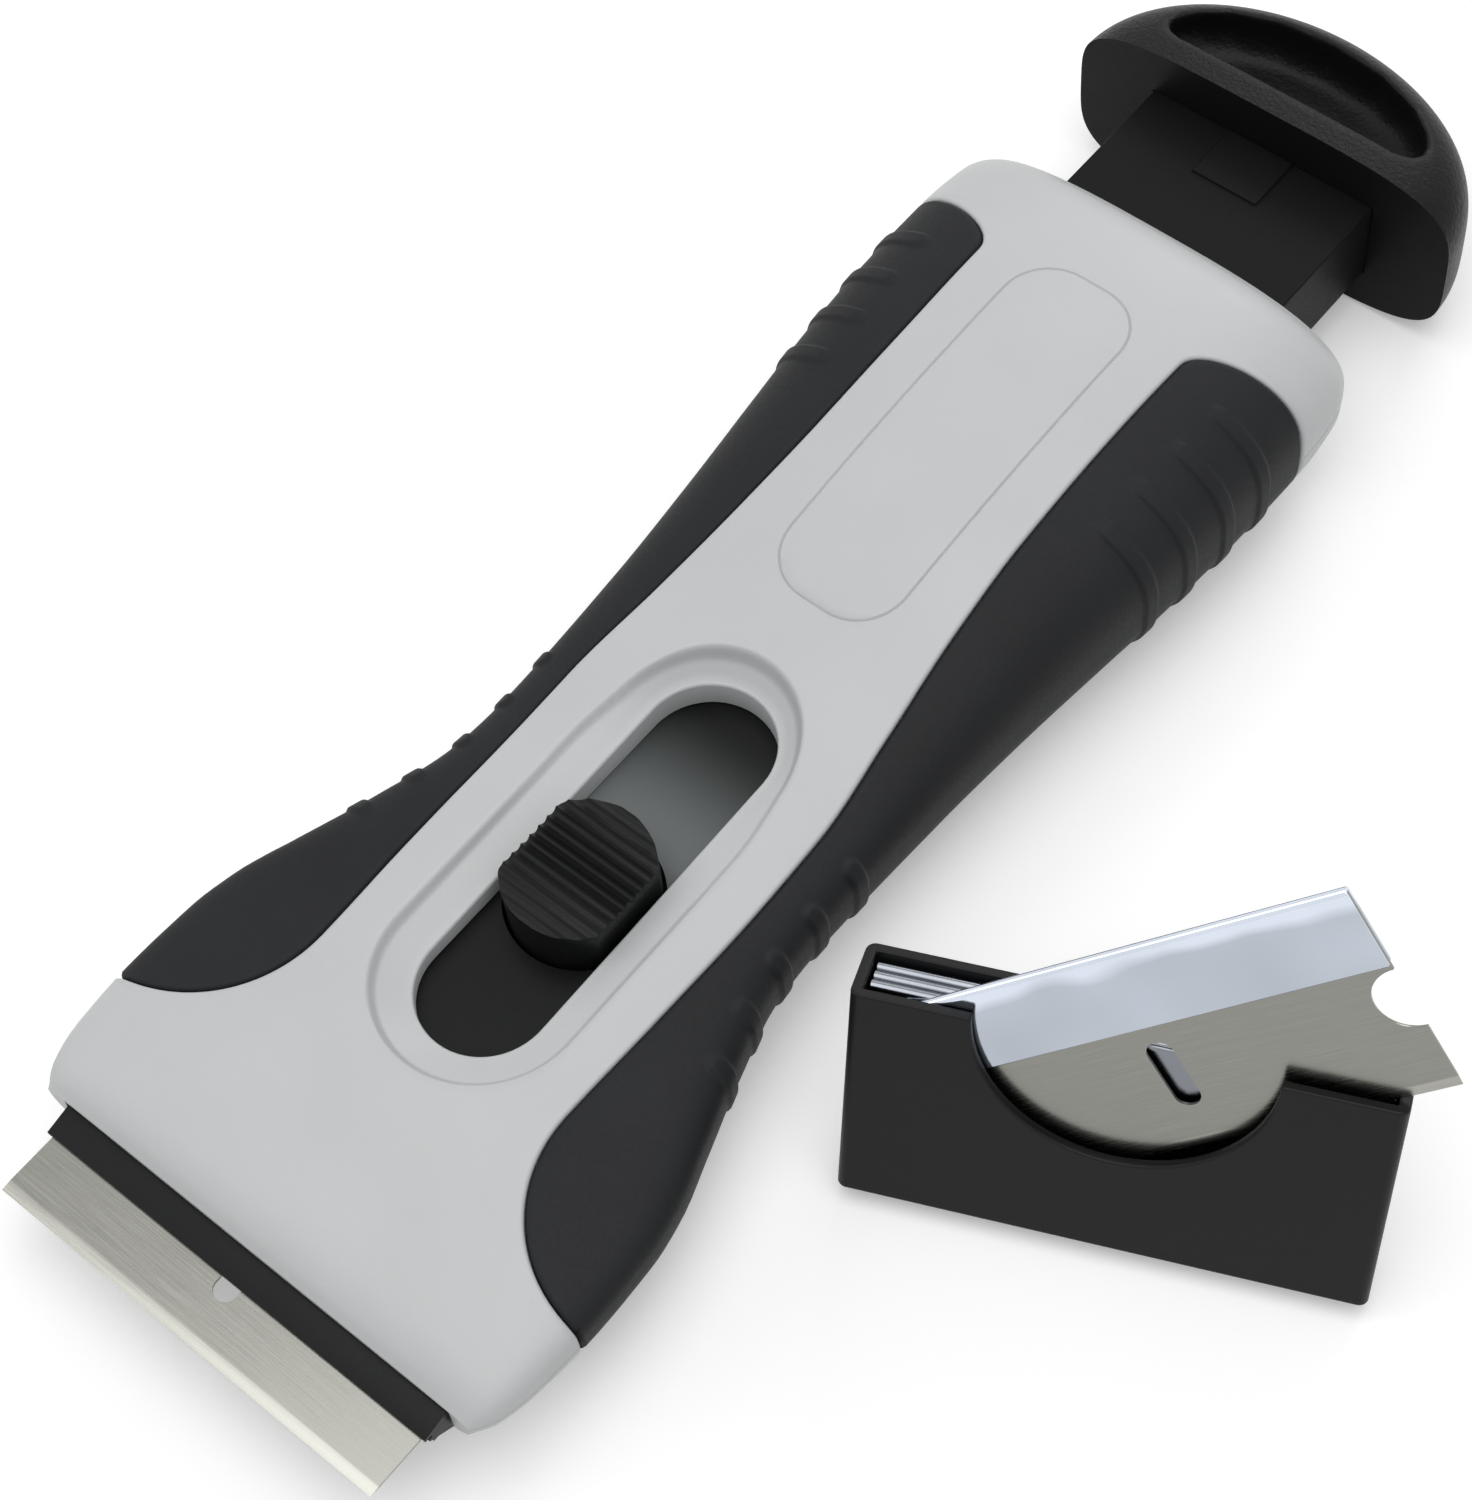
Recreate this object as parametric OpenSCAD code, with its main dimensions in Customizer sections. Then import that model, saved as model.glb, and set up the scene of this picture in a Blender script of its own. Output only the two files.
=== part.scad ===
// Retractable razor blade scraper with a storage drawer and a magazine of spare blades.
// Lengths are millimetres, +Z is up and +Y runs from the blade to the drawer.
// The origin is the middle of the flat under the handle, on the table.
// Inside the modules of the scraper, y is measured back from the mouth of the handle.

/* [Handle] */
// Length from the mouth to the rear rim
body_l = 115; // [110:0.5:130]
// Width across the shoulders
body_w = 48.7; // [47.5:0.1:60]
// Height of the palm swell above the table
body_h = 19.25; // [19:0.05:24]
// Height of the plane where the two shells part
parting_h = 9.2; // [9.1:0.05:9.4]
// Distance from the mouth back to the middle of the flat that it rests on
rest_at = 62; // [50:1:75]
// Thickness of the soft grips
grip_t = 1.4; // [0.8:0.1:1.6]
// Distance from the mouth back to where the grips start
grip_front = 10; // [7:0.5:13]
// Length of the curve that sweeps the grip out to the shoulder
grip_sweep = 12; // [8:0.5:16]
// Distance from the rear rim to the end of the grips
grip_rear = 7.7; // [6.5:0.1:12]
// Length of the rounded rear end of the grips
grip_round = 4; // [2:0.5:8]
// Height of the ribs on the grips
rib_h = 0.45; // [0.2:0.05:0.8]
// Width of a rib along the handle
rib_w = 2.4; // [1.2:0.1:3]
// Spacing of the ribs
rib_pitch = 4.85; // [3.4:0.05:5.2]
// First rib of the waist group, back from the mouth
waist_rib_at = 32.8; // [26:0.1:36]
// First rib of the palm group, back from the mouth
palm_rib_at = 87.1; // [70:0.1:88]

/* [Blade] */
// Length of the cutting edge
blade_w = 39; // [37:0.5:39.5]
// Depth from the cutting edge to the back of the spine
blade_d = 19; // [18:0.1:19.2]
// Thickness of the blade steel
blade_t = 0.25; // [0.2:0.01:0.4]
// Width of the ground bevel
bevel_w = 0.95; // [0.5:0.05:1.5]
// Width of the folded spine
spine_w = 7.1; // [5:0.1:7.2]
// Thickness of the folded spine
spine_t = 0.95; // [0.7:0.05:1]
// Radius of the notch in each end
notch_r = 2.75; // [2:0.05:2.9]
// Distance from the cutting edge to the middle of the notches
notch_at = 8.6; // [8.4:0.1:8.8]
// Length of the middle hole
hole_l = 5.4; // [3:0.1:6]
// Width of the middle hole
hole_w = 2.1; // [1:0.1:3]
// Distance from the cutting edge to the middle of the hole
hole_at = 7.5; // [6:0.1:8]

/* [Slide] */
// Height of the blade above the table
blade_level = 8.3; // [8.1:0.05:8.4]
// How far the edge stands out of the mouth while scraping
reach = 8; // [7.9:0.1:9]
// How far the clamp bar stands out of the mouth
clamp_reach = 2.5; // [1.5:0.1:3]
// Thickness of the two jaws at their front edges
lip_t = 0.35; // [0.25:0.05:0.6]
// Width of the blade clamp
jaw_w = 39.9; // [39.6:0.1:40.6]
// Depth of the blade clamp behind the mouth
jaw_l = 15.5; // [14.6:0.1:16]
// Rounding of the clamp's rear corners
jaw_corner = 4; // [3:0.1:6]
// Height of the mouth above the parting plane
mouth_rise = 0.6; // [0.5:0.05:0.7]
// Depth of the mouth below the parting plane
mouth_drop = 3.6; // [3.4:0.1:4]
// Depth of the slide's channel below the parting plane
channel_drop = 6.1; // [5.9:0.1:6.6]
// Width of the tongue behind the clamp
tongue_w = 14.8; // [14:0.1:16]
// Distance from the mouth to the rear end of the tongue
tongue_l = 60; // [58:0.5:61]
// Thickness of the tongue under the clamp's hook
shelf_t = 1.3; // [1:0.1:1.5]
// Travel back until the edge is inside the mouth
retract = 11; // [9:0.5:11]
// Travel forward to change the blade
advance = 9; // [7:0.5:9.5]

/* [Thumb button] */
// Distance from the mouth to the front of the thumb slot
slot_at = 21.2; // [20.5:0.1:21.6]
// Length of the thumb slot
slot_l = 38.3; // [37.5:0.1:39]
// Width of the thumb slot
slot_w = 11.4; // [11:0.1:12]
// Width of the sunken rim round the slot
rim_w = 2.5; // [1.5:0.1:2.6]
// Height of the slot's front end above the table
rim_front_h = 11.2; // [11:0.05:11.5]
// Height of the slot's rear end above the table
rim_rear_h = 12.5; // [12:0.05:12.8]
// Length of the thumb button
button_l = 12.6; // [11.5:0.1:13]
// Width of the thumb button
button_w = 10.2; // [9:0.1:10.6]
// Height of the button's top above the table
button_top = 14.5; // [14:0.1:16]
// Space left in front of the button at the end of its travel
button_stop = 1.8; // [1.4:0.1:2.4]
// Travel of the button when it is pressed
press = 1.2; // [1.15:0.05:1.3]
// Number of ridges on the button
ridge_count = 12; // [8:1:14]
// Depth of the ridges
ridge_h = 0.55; // [0.3:0.05:0.7]
// Thickness of the plate that holds the button down
plate_t = 1.35; // [1.2:0.05:1.5]
// Thickness of the cross bar under the button
cross_t = 1; // [0.8:0.05:1.1]
// Distance of the latch ears from the middle
ear_at = 8.8; // [8.6:0.1:9]
// Thickness of a latch ear
ear_t = 1.3; // [1:0.1:1.4]
// Length of a latch ear
ear_l = 4; // [3:0.1:5]
// How far the ears reach into their groove
ear_h = 0.8; // [0.6:0.05:0.85]
// Depth of the click notches beside that groove
click_d = 0.4; // [0.2:0.05:0.5]
// Walls of the button's housing, before and behind it
house_wall = 2.7; // [2:0.1:2.8]
// Floor of the button's housing
house_floor = 1; // [0.8:0.1:1.2]
// Thickness of the leaf spring
spring_t = 0.3; // [0.2:0.05:0.4]
// Span of the leaf spring
spring_w = 8.8; // [7:0.1:9.2]
// Length of the leaf spring
spring_l = 3.4; // [2:0.1:4]

/* [Drawer] */
// Width of the drawer
tray_w = 23.3; // [22.8:0.1:24]
// Height of the drawer
tray_h = 8.7; // [8.5:0.1:9]
// Height of the drawer's underside above the table
tray_level = 4.56; // [4.3:0.02:4.8]
// How far the drawer stands open
drawer_out = 15.2; // [14:0.1:20]
// Walls of the drawer
tray_wall = 1.15; // [0.8:0.05:1.2]
// Floor and roof of the drawer
tray_floor = 1.2; // [0.9:0.05:1.25]
// Length of the roofed end next to the pull
roof_l = 14; // [8:0.5:16]
// Wall between the slide's channel and the drawer
bulkhead_t = 1; // [0.8:0.1:1.4]
// Width of the catch on the drawer's roof
catch_w = 6.8; // [4:0.1:8]
// Length of the catch
catch_l = 5.8; // [4:0.1:7]
// Height of the catch
catch_h = 0.35; // [0.2:0.05:0.5]
// Width of the pull
pull_w = 39.4; // [39:0.1:44]
// Height of the pull
pull_h = 18; // [17:0.1:18.2]
// Depth of the pull behind its flat face
pull_d = 14; // [13:0.1:18]
// How deep the drawer sits in the pull
socket_d = 2; // [1:0.1:2.2]
// Depth of the finger hollow in the pull
hollow_h = 5.5; // [4.6:0.1:5.8]
// Rim left round the finger hollow
hollow_rim = 2.5; // [2.3:0.1:3]
// Rounding at the bottom of the finger hollow
hollow_round = 3; // [1:0.1:4]

/* [Magazine] */
// Walls of the magazine
mag_wall = 0.9; // [0.7:0.05:1]
// Floor of the magazine
mag_floor = 1; // [0.8:0.1:1.2]
// Height of the magazine
mag_h = 20.7; // [20.4:0.1:21]
// Rounding of the magazine's corners
mag_corner = 0.8; // [0.4:0.1:0.85]
// Play of the blades in the magazine along its length
blade_play = 0.4; // [0.3:0.1:0.8]
// Radius of the thumb cut-out
cutout_r = 11.4; // [9:0.1:13]
// Tilt of the blade that is being drawn out
draw_tilt = 34; // [25:1:36]
// Distance of the drawn blade's lower corner from the magazine's left end
draw_at = 12; // [12:0.5:24]
// Lean of the magazine from upright
mag_lean = 20; // [0:1:30]
// Turn of the magazine on the table
mag_turn = 24; // [0:1:40]
// Place of the magazine's front left corner, right of the handle's middle line
mag_x = 28.9; // [28:0.1:60]
// Place of the same corner, back from the mouth
mag_y = 33.6; // [0:0.1:60]

/* [Screws and fits] */
// Diameter of the shell screws
screw_d = 2.2; // [2:0.1:2.4]
// Diameter of the shell screws' heads
head_d = 3.8; // [3.4:0.1:4]
// Height of the shell screws' heads
head_h = 1.4; // [1:0.1:1.6]
// Front shell screws, back from the mouth
screw_front = 30; // [29:0.5:32]
// Front shell screws, in from the side of the handle
screw_front_in = 5.8; // [5.5:0.1:6]
// Rear shell screws, back from the mouth
screw_rear = 92; // [86:0.5:96]
// Rear shell screws, in from the side of the handle
screw_rear_in = 5.3; // [5.2:0.1:5.8]
// Diameter of the clamp screws
clamp_screw_d = 1.6; // [1.2:0.1:1.8]
// Diameter of the clamp screws' heads
clamp_head_d = 2.8; // [2.4:0.1:3]
// Height of the clamp screws' heads
clamp_head_h = 0.7; // [0.5:0.1:0.8]
// Clamp screws, from the middle
clamp_screw_x = 11; // [9.5:0.5:14]
// Wall of the shells beside the blade clamp
cheek_t = 1.9; // [1.2:0.1:1.9]
// Wall between the drawer's bay and the rear shell screws
bay_wall = 0.6; // [0.5:0.1:1.2]
// Gap between pieces that slide
slide_gap = 0.3; // [0.25:0.01:0.32]
// Gap round the blade's spine in its groove
groove_gap = 0.15; // [0.1:0.01:0.2]
// Gap round the drawer in its bay
bay_gap = 0.25; // [0.2:0.01:0.3]
// Gap between pieces that are fitted and do not move
seat_gap = 0.05; // [0.03:0.01:0.08]
// Overrun of every cut past the face that it opens
over = 0.5; // [0.3:0.1:1]

/* [Hidden] */

$fn = 48;

// Shares of the handle's length, each with a share of its size there, chosen by hand
width_shares = [[0, 0.912], [0.017, 0.958], [0.045, 0.985], [0.1, 1], [0.157, 0.99], [0.195, 0.96],
    [0.243, 0.883], [0.3, 0.79], [0.365, 0.708], [0.41, 0.695], [0.54, 0.715], [0.626, 0.743],
    [0.713, 0.784], [0.783, 0.819], [0.852, 0.842], [0.939, 0.852], [0.983, 0.836], [1, 0.805]];
top_shares = [[0, 0.535], [0.008, 0.587], [0.026, 0.634], [0.061, 0.665], [0.122, 0.678], [0.278, 0.694],
    [0.374, 0.706], [0.452, 0.738], [0.539, 0.8], [0.626, 0.883], [0.713, 0.948], [0.8, 0.987],
    [0.87, 1], [0.93, 0.99], [0.974, 0.966], [0.991, 0.93], [1, 0.883]];
belly_shares = [[0, 0.446], [0.1, 0.2], [0.2, 0.01], [0.26, -0.087], [0.94, -0.087], [0.975, -0.02], [1, 0.2]];
border_shares = [[0, 0.522], [0.19, 0.522], [0.278, 0.533], [0.37, 0.539], [0.452, 0.536], [0.539, 0.494],
    [0.626, 0.452], [0.713, 0.429], [0.8, 0.425], [0.91, 0.432], [1, 0.44]];
end_shares = [0, 0.004, 0.009, 0.017, 0.03, 0.05];
// Shares of the grip's curved ends, closer towards their tips
sweep_shares = [0.02, 0.08, 0.18, 0.3, 0.45, 0.62, 0.8, 1];
// Roundness of the section above the parting plane, along the handle, and below that plane
crown_shares = [[0, 4], [0.2, 3.8], [0.4, 3.2], [1, 3]];
belly_power = 2.4;
// Least angle of the grip's ends on the section
tip_angle = 6;
// Sections of a shell and of a grip, and points across the zones of a section
shell_steps = 22;
grip_steps = 18;
top_steps = 5;
side_steps = 4;
// Points of a grip's section that a rib lifts, counted from the parting plane
rib_points = 3;
waist_ribs = 5;
palm_ribs = 4;
// Share of the rib's width over which it is full
rib_flat_share = 0.45;
// Least split of two points that would fall together
hair = seat_gap / 2;

// Heights and ends of the slide's channel
channel_top = parting_h + mouth_rise;
mouth_floor = parting_h - mouth_drop;
channel_floor = parting_h - channel_drop;
blade_face = blade_level + blade_t / 2;
blade_back = blade_level - blade_t / 2;
jaw_floor = mouth_floor + slide_gap;
bar_top = channel_top - slide_gap;
shelf_h = jaw_floor + shelf_t;
tongue_top = channel_top - slide_gap / 2;
spine_end = blade_d - reach;
groove_front = spine_end - spine_w - groove_gap;
hook_at = spine_end + groove_gap;
pocket_w = max(jaw_w, blade_w + 2 * seat_gap) + 2 * slide_gap;
pocket_end = jaw_l + retract + slide_gap;
channel_end = tongue_l + retract + slide_gap;

// Thumb button, its latch ears and its spring
button_at = slot_at + advance + button_l / 2 + button_stop;
cross_top = tongue_top - plate_t;
cross_floor = cross_top - cross_t;
ear_end = ear_at + ear_t;
channel_w = 2 * (ear_end + slide_gap);
house_l = button_l + 2 * house_wall;
house_base = channel_floor + slide_gap;
well_floor = house_base + house_floor;
channel_front = button_at - house_l / 2 - advance - slide_gap;
spring_rise = cross_floor - well_floor - seat_gap;
spring_r = ((spring_w / 2) ^ 2 + spring_rise ^ 2) / (2 * spring_rise);
latch_stops = [-advance, 0, retract];
rim_tilt = atan((rim_rear_h - rim_front_h) / slot_l);
ridge_pitch = button_l / ridge_count;

// Drawer bay, drawer and pull
bay_front = channel_end + bulkhead_t;
tray_front = bay_front + slide_gap + drawer_out;
flange_at = body_l + slide_gap + drawer_out;
tray_inner_w = tray_w - 2 * tray_wall;
tray_top = tray_level + tray_h;
pull_power = 4;
pull_sides = 20;
pull_shares = [-0.985, -0.94, -0.86, -0.7, -0.45, 0, 0.45, 0.7, 0.86, 0.94, 0.985];
hollow_front = flange_at + hollow_rim;
hollow_d = pull_d - 2 * hollow_rim;
hollow_half = pull_w / 2 - hollow_rim - seat_gap;
hollow_r = (hollow_half ^ 2 + hollow_d ^ 2) / (2 * hollow_d);

// Magazine and the blades in it
spine_leaf = (spine_t - blade_t) / 2;
steel_d = blade_d - spine_leaf;
stack_pitch = spine_t + seat_gap;
stored_count = 3;
mag_l = blade_w + blade_play + 2 * mag_wall;
mag_d = 2 * mag_wall + (stored_count + 1) * stack_pitch + 3 * seat_gap;
// The edge of the drawn blade rests on the rim of the magazine's right end
draw_right = mag_l - mag_wall;
draw_z = mag_h + seat_gap - (draw_right - draw_at) * tan(draw_tilt);

// Smooth curve through the rows [at, value] of a table
function seek(table, at, i = 0) = i >= len(table) - 2 || at <= table[i + 1][0] ? i : seek(table, at, i + 1);
function rise(table, i) = (table[i + 1][1] - table[i][1]) / (table[i + 1][0] - table[i][0]);
function mean_rise(a, b) = a * b <= 0 ? 0 : 2 * a * b / (a + b);
function slope(table, i) = i == 0 ? rise(table, 0)
    : i == len(table) - 1 ? rise(table, i - 1)
    : mean_rise(rise(table, i - 1), rise(table, i));
function curve(table, at) = let (
        i = seek(table, at),
        step = table[i + 1][0] - table[i][0],
        u = (at - table[i][0]) / step,
        m = step * slope(table, i),
        n = step * slope(table, i + 1))
    table[i][1] * (1 - 3 * u ^ 2 + 2 * u ^ 3) + m * (u - 2 * u ^ 2 + u ^ 3)
    + table[i + 1][1] * (3 * u ^ 2 - 2 * u ^ 3) + n * (u ^ 3 - u ^ 2);

// Width that the shares are taken of: it grows where the clamp or the drawer needs it
front_w = max(body_w, (pocket_w + 2 * cheek_t) / curve(width_shares, 0));
rear_need = tray_w / 2 + bay_gap + bay_wall + screw_d / 2 + screw_rear_in;
rear_w = max(body_w, 2 * rear_need / curve(width_shares, screw_rear / body_l));
growth_run = (screw_rear - pocket_end) / 3;
function eased(u) = let (t = min(1, max(0, u))) 3 * t ^ 2 - 2 * t ^ 3;
function full_w(y) = body_w + (front_w - body_w) * (1 - eased((y - pocket_end) / growth_run))
    + (rear_w - body_w) * eased((y - screw_rear) / growth_run + 1);

// Sizes of the handle's section at the distance y from the mouth
function half_width(y) = full_w(y) / 2 * curve(width_shares, y / body_l);
function crown(y) = body_h * curve(top_shares, y / body_l) - parting_h;
function belly(y) = parting_h * (1 - curve(belly_shares, y / body_l));
function crown_power(y) = curve(crown_shares, y / body_l);

// Half width of the pale band between the grips, swept out at both ends of the grips
function sweep_out(u) = u <= 0 ? 0 : 1 - sqrt(max(0, 1 - u ^ 2));
function border(y) = let (
        plain = full_w(y) / 2 * curve(border_shares, y / body_l),
        front_u = (grip_front + grip_sweep - y) / grip_sweep,
        rear_u = (y - (body_l - grip_rear - grip_round)) / grip_round)
    plain + (half_width(y) - plain) * sweep_out(min(1, max(front_u, rear_u)));

// Angle of the border on the section, and the section's point at an angle, set in by a depth
function border_angle(y, power, play) = max(tip_angle,
    acos(min(1, ((border(y) + play) / half_width(y)) ^ (power / 2))));
function above(y, angle, inset) = let (power = crown_power(y))
    [(half_width(y) - inset) * cos(angle) ^ (2 / power),
     parting_h + (crown(y) - inset) * sin(angle) ^ (2 / power)];
function below(y, angle, inset) =
    [(half_width(y) - inset) * cos(angle) ^ (2 / belly_power),
     parting_h - (belly(y) - inset) * sin(angle) ^ (2 / belly_power)];
// Heights of the grip's seat above and below the parting plane, at the distance x from the middle
function seat_above(y, x) = let (power = crown_power(y))
    parting_h + (crown(y) - grip_t) * (1 - (x / (half_width(y) - grip_t)) ^ power) ^ (1 / power);
function seat_below(y, x) = parting_h - (belly(y) - grip_t)
    * (1 - (x / (half_width(y) - grip_t)) ^ belly_power) ^ (1 / belly_power);

function reversed(points) = [for (i = [len(points) - 1:-1:0]) points[i]];
function flipped(points) = [for (p = points) [-p[0], p[1]]];
function at_y(points, y) = [for (p = points) [p[0], y, p[1]]];
function even(from, to, count) = [for (i = [0:count]) from + (to - from) * i / count];

// Half a shell's section from the parting plane to the middle, with the seat of the grip set in
function has_grip(y) = y > grip_front && y < body_l - grip_rear;
function seat_depth(y) = has_grip(y) ? grip_t : 0;
function upper_half(y) = let (edge = border_angle(y, crown_power(y), 0))
    concat([for (a = even(0, edge, side_steps)) above(y, a, seat_depth(y))],
        [above(y, edge + (has_grip(y) ? 0 : hair), 0)],
        [for (i = [1:top_steps]) above(y, edge + (90 - edge) * i / top_steps, 0)]);
function lower_half(y) = let (edge = border_angle(y, belly_power, 0))
    concat([for (a = even(0, edge, side_steps)) below(y, a, seat_depth(y))],
        [below(y, edge + (has_grip(y) ? 0 : hair), 0)],
        [for (i = [1:top_steps]) below(y, edge + (90 - edge) * i / top_steps, 0)]);
function all_but_last(points) = [for (i = [0:len(points) - 2]) points[i]];
function upper_ring(y) = let (half = upper_half(y))
    at_y(concat(half, flipped(reversed(all_but_last(half)))), y);
function lower_ring(y) = let (half = lower_half(y))
    at_y(concat(flipped(half), reversed(all_but_last(half))), y);
function gripped_stations(play, steps) = let (
        front = grip_front + play,
        back = body_l - grip_rear - play)
    concat([front], [for (s = sweep_shares) front + grip_sweep * s],
        [for (i = [1:steps - 1]) front + grip_sweep + (back - grip_round - front - grip_sweep) * i / steps],
        [for (s = reversed(sweep_shares)) back - grip_round * s], [back]);
function shell_stations() = concat(
    [for (s = end_shares) body_l * s],
    [grip_front - hair],
    gripped_stations(hair, shell_steps),
    [body_l - grip_rear + hair],
    [for (s = reversed(end_shares)) body_l * (1 - s)]);

// Ribs of the grips: their middles, and how far they are raised at y
function rib_middles() = concat(
    [for (i = [0:waist_ribs - 1]) waist_rib_at + i * rib_pitch],
    [for (i = [0:palm_ribs - 1]) palm_rib_at + i * rib_pitch]);
function rib_near(y) = min([for (m = rib_middles()) abs(y - m)]);
function rib_lift(y) = rib_near(y) < rib_w / 2 * rib_flat_share ? rib_h : 0;
function free_of_ribs(y) = rib_near(y) > rib_w / 2 + hair;
function grip_ring(y) = let (
        top = border_angle(y, crown_power(y), seat_gap),
        foot = border_angle(y, belly_power, seat_gap),
        seat = grip_t - seat_gap,
        side = [for (i = [0:side_steps]) above(y, top * i / side_steps, i <= rib_points ? -rib_lift(y) : 0)],
        under = [for (i = [1:side_steps]) below(y, foot * i / side_steps, i < rib_points ? -rib_lift(y) : 0)],
        side_in = [for (i = [0:side_steps]) above(y, top * i / side_steps, seat)],
        under_in = [for (i = [1:side_steps]) below(y, foot * i / side_steps, seat)])
    at_y([for (p = concat(reversed(under), side, reversed(side_in), under_in)) [p[0], max(0, p[1])]], y);
function in_order(list) = len(list) <= 1 ? list : let (
        pivot = list[floor(len(list) / 2)],
        less = [for (v = list) if (v < pivot) v],
        more = [for (v = list) if (v > pivot) v])
    concat(in_order(less), [pivot], in_order(more));
function grip_stations() = let (
        plain = gripped_stations(seat_gap + hair, grip_steps),
        inner = rib_w / 2 * rib_flat_share - hair)
    in_order(concat([for (y = plain) if (free_of_ribs(y)) y],
        [for (m = rib_middles(), d = [-rib_w / 2, -inner, inner, rib_w / 2]) m + d]));

// Closed skin over rings of points, each ring counter-clockwise seen from the front
module skin(rings) {
    count = len(rings[0]);
    last = len(rings) - 1;
    polyhedron(
        points = [for (ring = rings) each ring],
        faces = concat(
            [[for (i = [count - 1:-1:0]) i]],
            [for (k = [0:last - 1], i = [0:count - 1]) let (
                    a = k * count + i,
                    b = k * count + (i + 1) % count)
                each [[a, b, b + count], [a, b + count, a + count]]],
            [[for (i = [0:count - 1]) last * count + i]]));
}

module in_body() {
    translate([0, -rest_at, 0])
        children();
}

// Block given by its width across the middle line and its ends in y and z
module block(width, y0, y1, z0, z1) {
    translate([-width / 2, y0, z0])
        cube([width, y1 - y0, z1 - z0]);
}

module both_sides() {
    for (side = [0, 1])
        mirror([side, 0, 0])
            children();
}

module stadium(width, length) {
    square([width, length - width], center = true);
    for (s = [-1, 1])
        translate([0, s * (length - width) / 2])
            circle(width / 2);
}

// Plan of the clamp and of its pocket: square at the front, rounded at the rear
module clamp_plan(width, y0, y1, r) {
    translate([-width / 2, y0])
        square([width, y1 - r - y0]);
    translate([r - width / 2, y0])
        square([width - 2 * r, y1 - y0]);
    both_sides()
        translate([width / 2 - r, y1 - r])
            circle(r);
}

// Profile given in y and z, drawn out across the middle line
module across(width) {
    translate([-width / 2, 0, 0])
        rotate([90, 0, 90])
            linear_extrude(width)
                children();
}

module slot_plan(grow) {
    translate([0, slot_l / 2])
        stadium(slot_w + 2 * grow, slot_l + 2 * grow);
}

module slide_room() {
    translate([0, 0, mouth_floor])
        linear_extrude(channel_top - mouth_floor)
            clamp_plan(pocket_w, -over, pocket_end, jaw_corner);
    block(channel_w, channel_front, channel_end, channel_floor, channel_top);
}

module drawer_room() {
    block(tray_w + 2 * bay_gap, bay_front, body_l + over, tray_level - bay_gap, tray_top + bay_gap);
    block(catch_w + 2 * bay_gap, body_l - catch_l - slide_gap, body_l + over,
        tray_level, tray_top + catch_h + bay_gap);
}

// Groove of the latch ears in the roof of the channel, with a click notch beside it at each stop
module latch_groove() {
    groove_w = ear_t + 2 * slide_gap;
    notch_l = ear_l + 2 * slide_gap;
    groove_h = ear_h + slide_gap + over;
    both_sides()
        translate([ear_at - slide_gap, button_at - notch_l / 2 - advance, channel_top - over]) {
            cube([groove_w, notch_l + advance + retract, groove_h]);
            for (stop = latch_stops)
                translate([0, advance + stop, 0])
                    cube([groove_w + click_d, notch_l, groove_h]);
        }
}

// Shell screws: their places, the foot of the head and the tip of the shank
screw_bite_share = 0.75;
screw_places = [[half_width(screw_front) - screw_front_in, screw_front],
    [half_width(screw_rear) - screw_rear_in, screw_rear]];
function screw_foot(p) = seat_below(p[1], p[0] + head_d / 2 + seat_gap);
function screw_tip(p) = parting_h + (seat_above(p[1], p[0] + screw_d / 2) - parting_h) * screw_bite_share;
function screw_length(p) = screw_tip(p) - screw_foot(p);

module at_screw(p) {
    both_sides()
        translate([p[0], p[1], screw_foot(p)])
            children();
}

module upper_shell() {
    color("lightgray")
        in_body()
            difference() {
                skin([for (y = shell_stations()) upper_ring(y)]);
                slide_room();
                drawer_room();
                latch_groove();
                translate([0, slot_at, mouth_floor])
                    linear_extrude(body_h)
                        slot_plan(0);
                translate([0, slot_at, rim_front_h])
                    rotate([rim_tilt, 0, 0])
                        linear_extrude(body_h)
                            slot_plan(rim_w);
                for (p = screw_places)
                    at_screw(p)
                        cylinder(d = screw_d, h = screw_length(p) + seat_gap);
            }
}

module lower_shell() {
    color("lightgray")
        in_body()
            difference() {
                skin([for (y = shell_stations()) lower_ring(y)]);
                block(2 * body_w, -over, body_l + over, -body_h, 0);
                slide_room();
                drawer_room();
                for (p = screw_places)
                    at_screw(p) {
                        cylinder(d = screw_d + 2 * seat_gap, h = body_h);
                        translate([0, 0, head_h - body_h])
                            cylinder(d = head_d + 2 * seat_gap, h = body_h);
                    }
            }
}

module grip_skin() {
    in_body()
        skin([for (y = grip_stations()) grip_ring(y)]);
}

module right_grip() {
    color("dimgray")
        grip_skin();
}

module left_grip() {
    color("dimgray")
        mirror([1, 0, 0])
            grip_skin();
}

module shell_screws() {
    color("silver")
        in_body()
            for (p = screw_places)
                at_screw(p) {
                    cylinder(d = screw_d, h = screw_length(p));
                    cylinder(d = head_d, h = head_h);
                }
}

// Clamp screws stand behind the spine, heads down
clamp_screw_at = (hook_at + jaw_l) / 2;
clamp_screw_h = bar_top - lip_t - jaw_floor;

module at_clamp_screws() {
    both_sides()
        translate([clamp_screw_x, clamp_screw_at, jaw_floor])
            children();
}

// Outline of the button, widened by a gap
module button_plan(grow) {
    translate([0, button_at])
        intersection() {
            circle(button_l / 2 + grow);
            square([button_w + 2 * grow, button_l + 2 * grow], center = true);
        }
}

// Cuts the clamp's rear corners round
module clamp_corners() {
    both_sides()
        translate([jaw_w / 2 - jaw_corner, jaw_l - jaw_corner, 0])
            linear_extrude(body_h)
                difference() {
                    square(jaw_corner + over);
                    circle(jaw_corner);
                }
}

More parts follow.
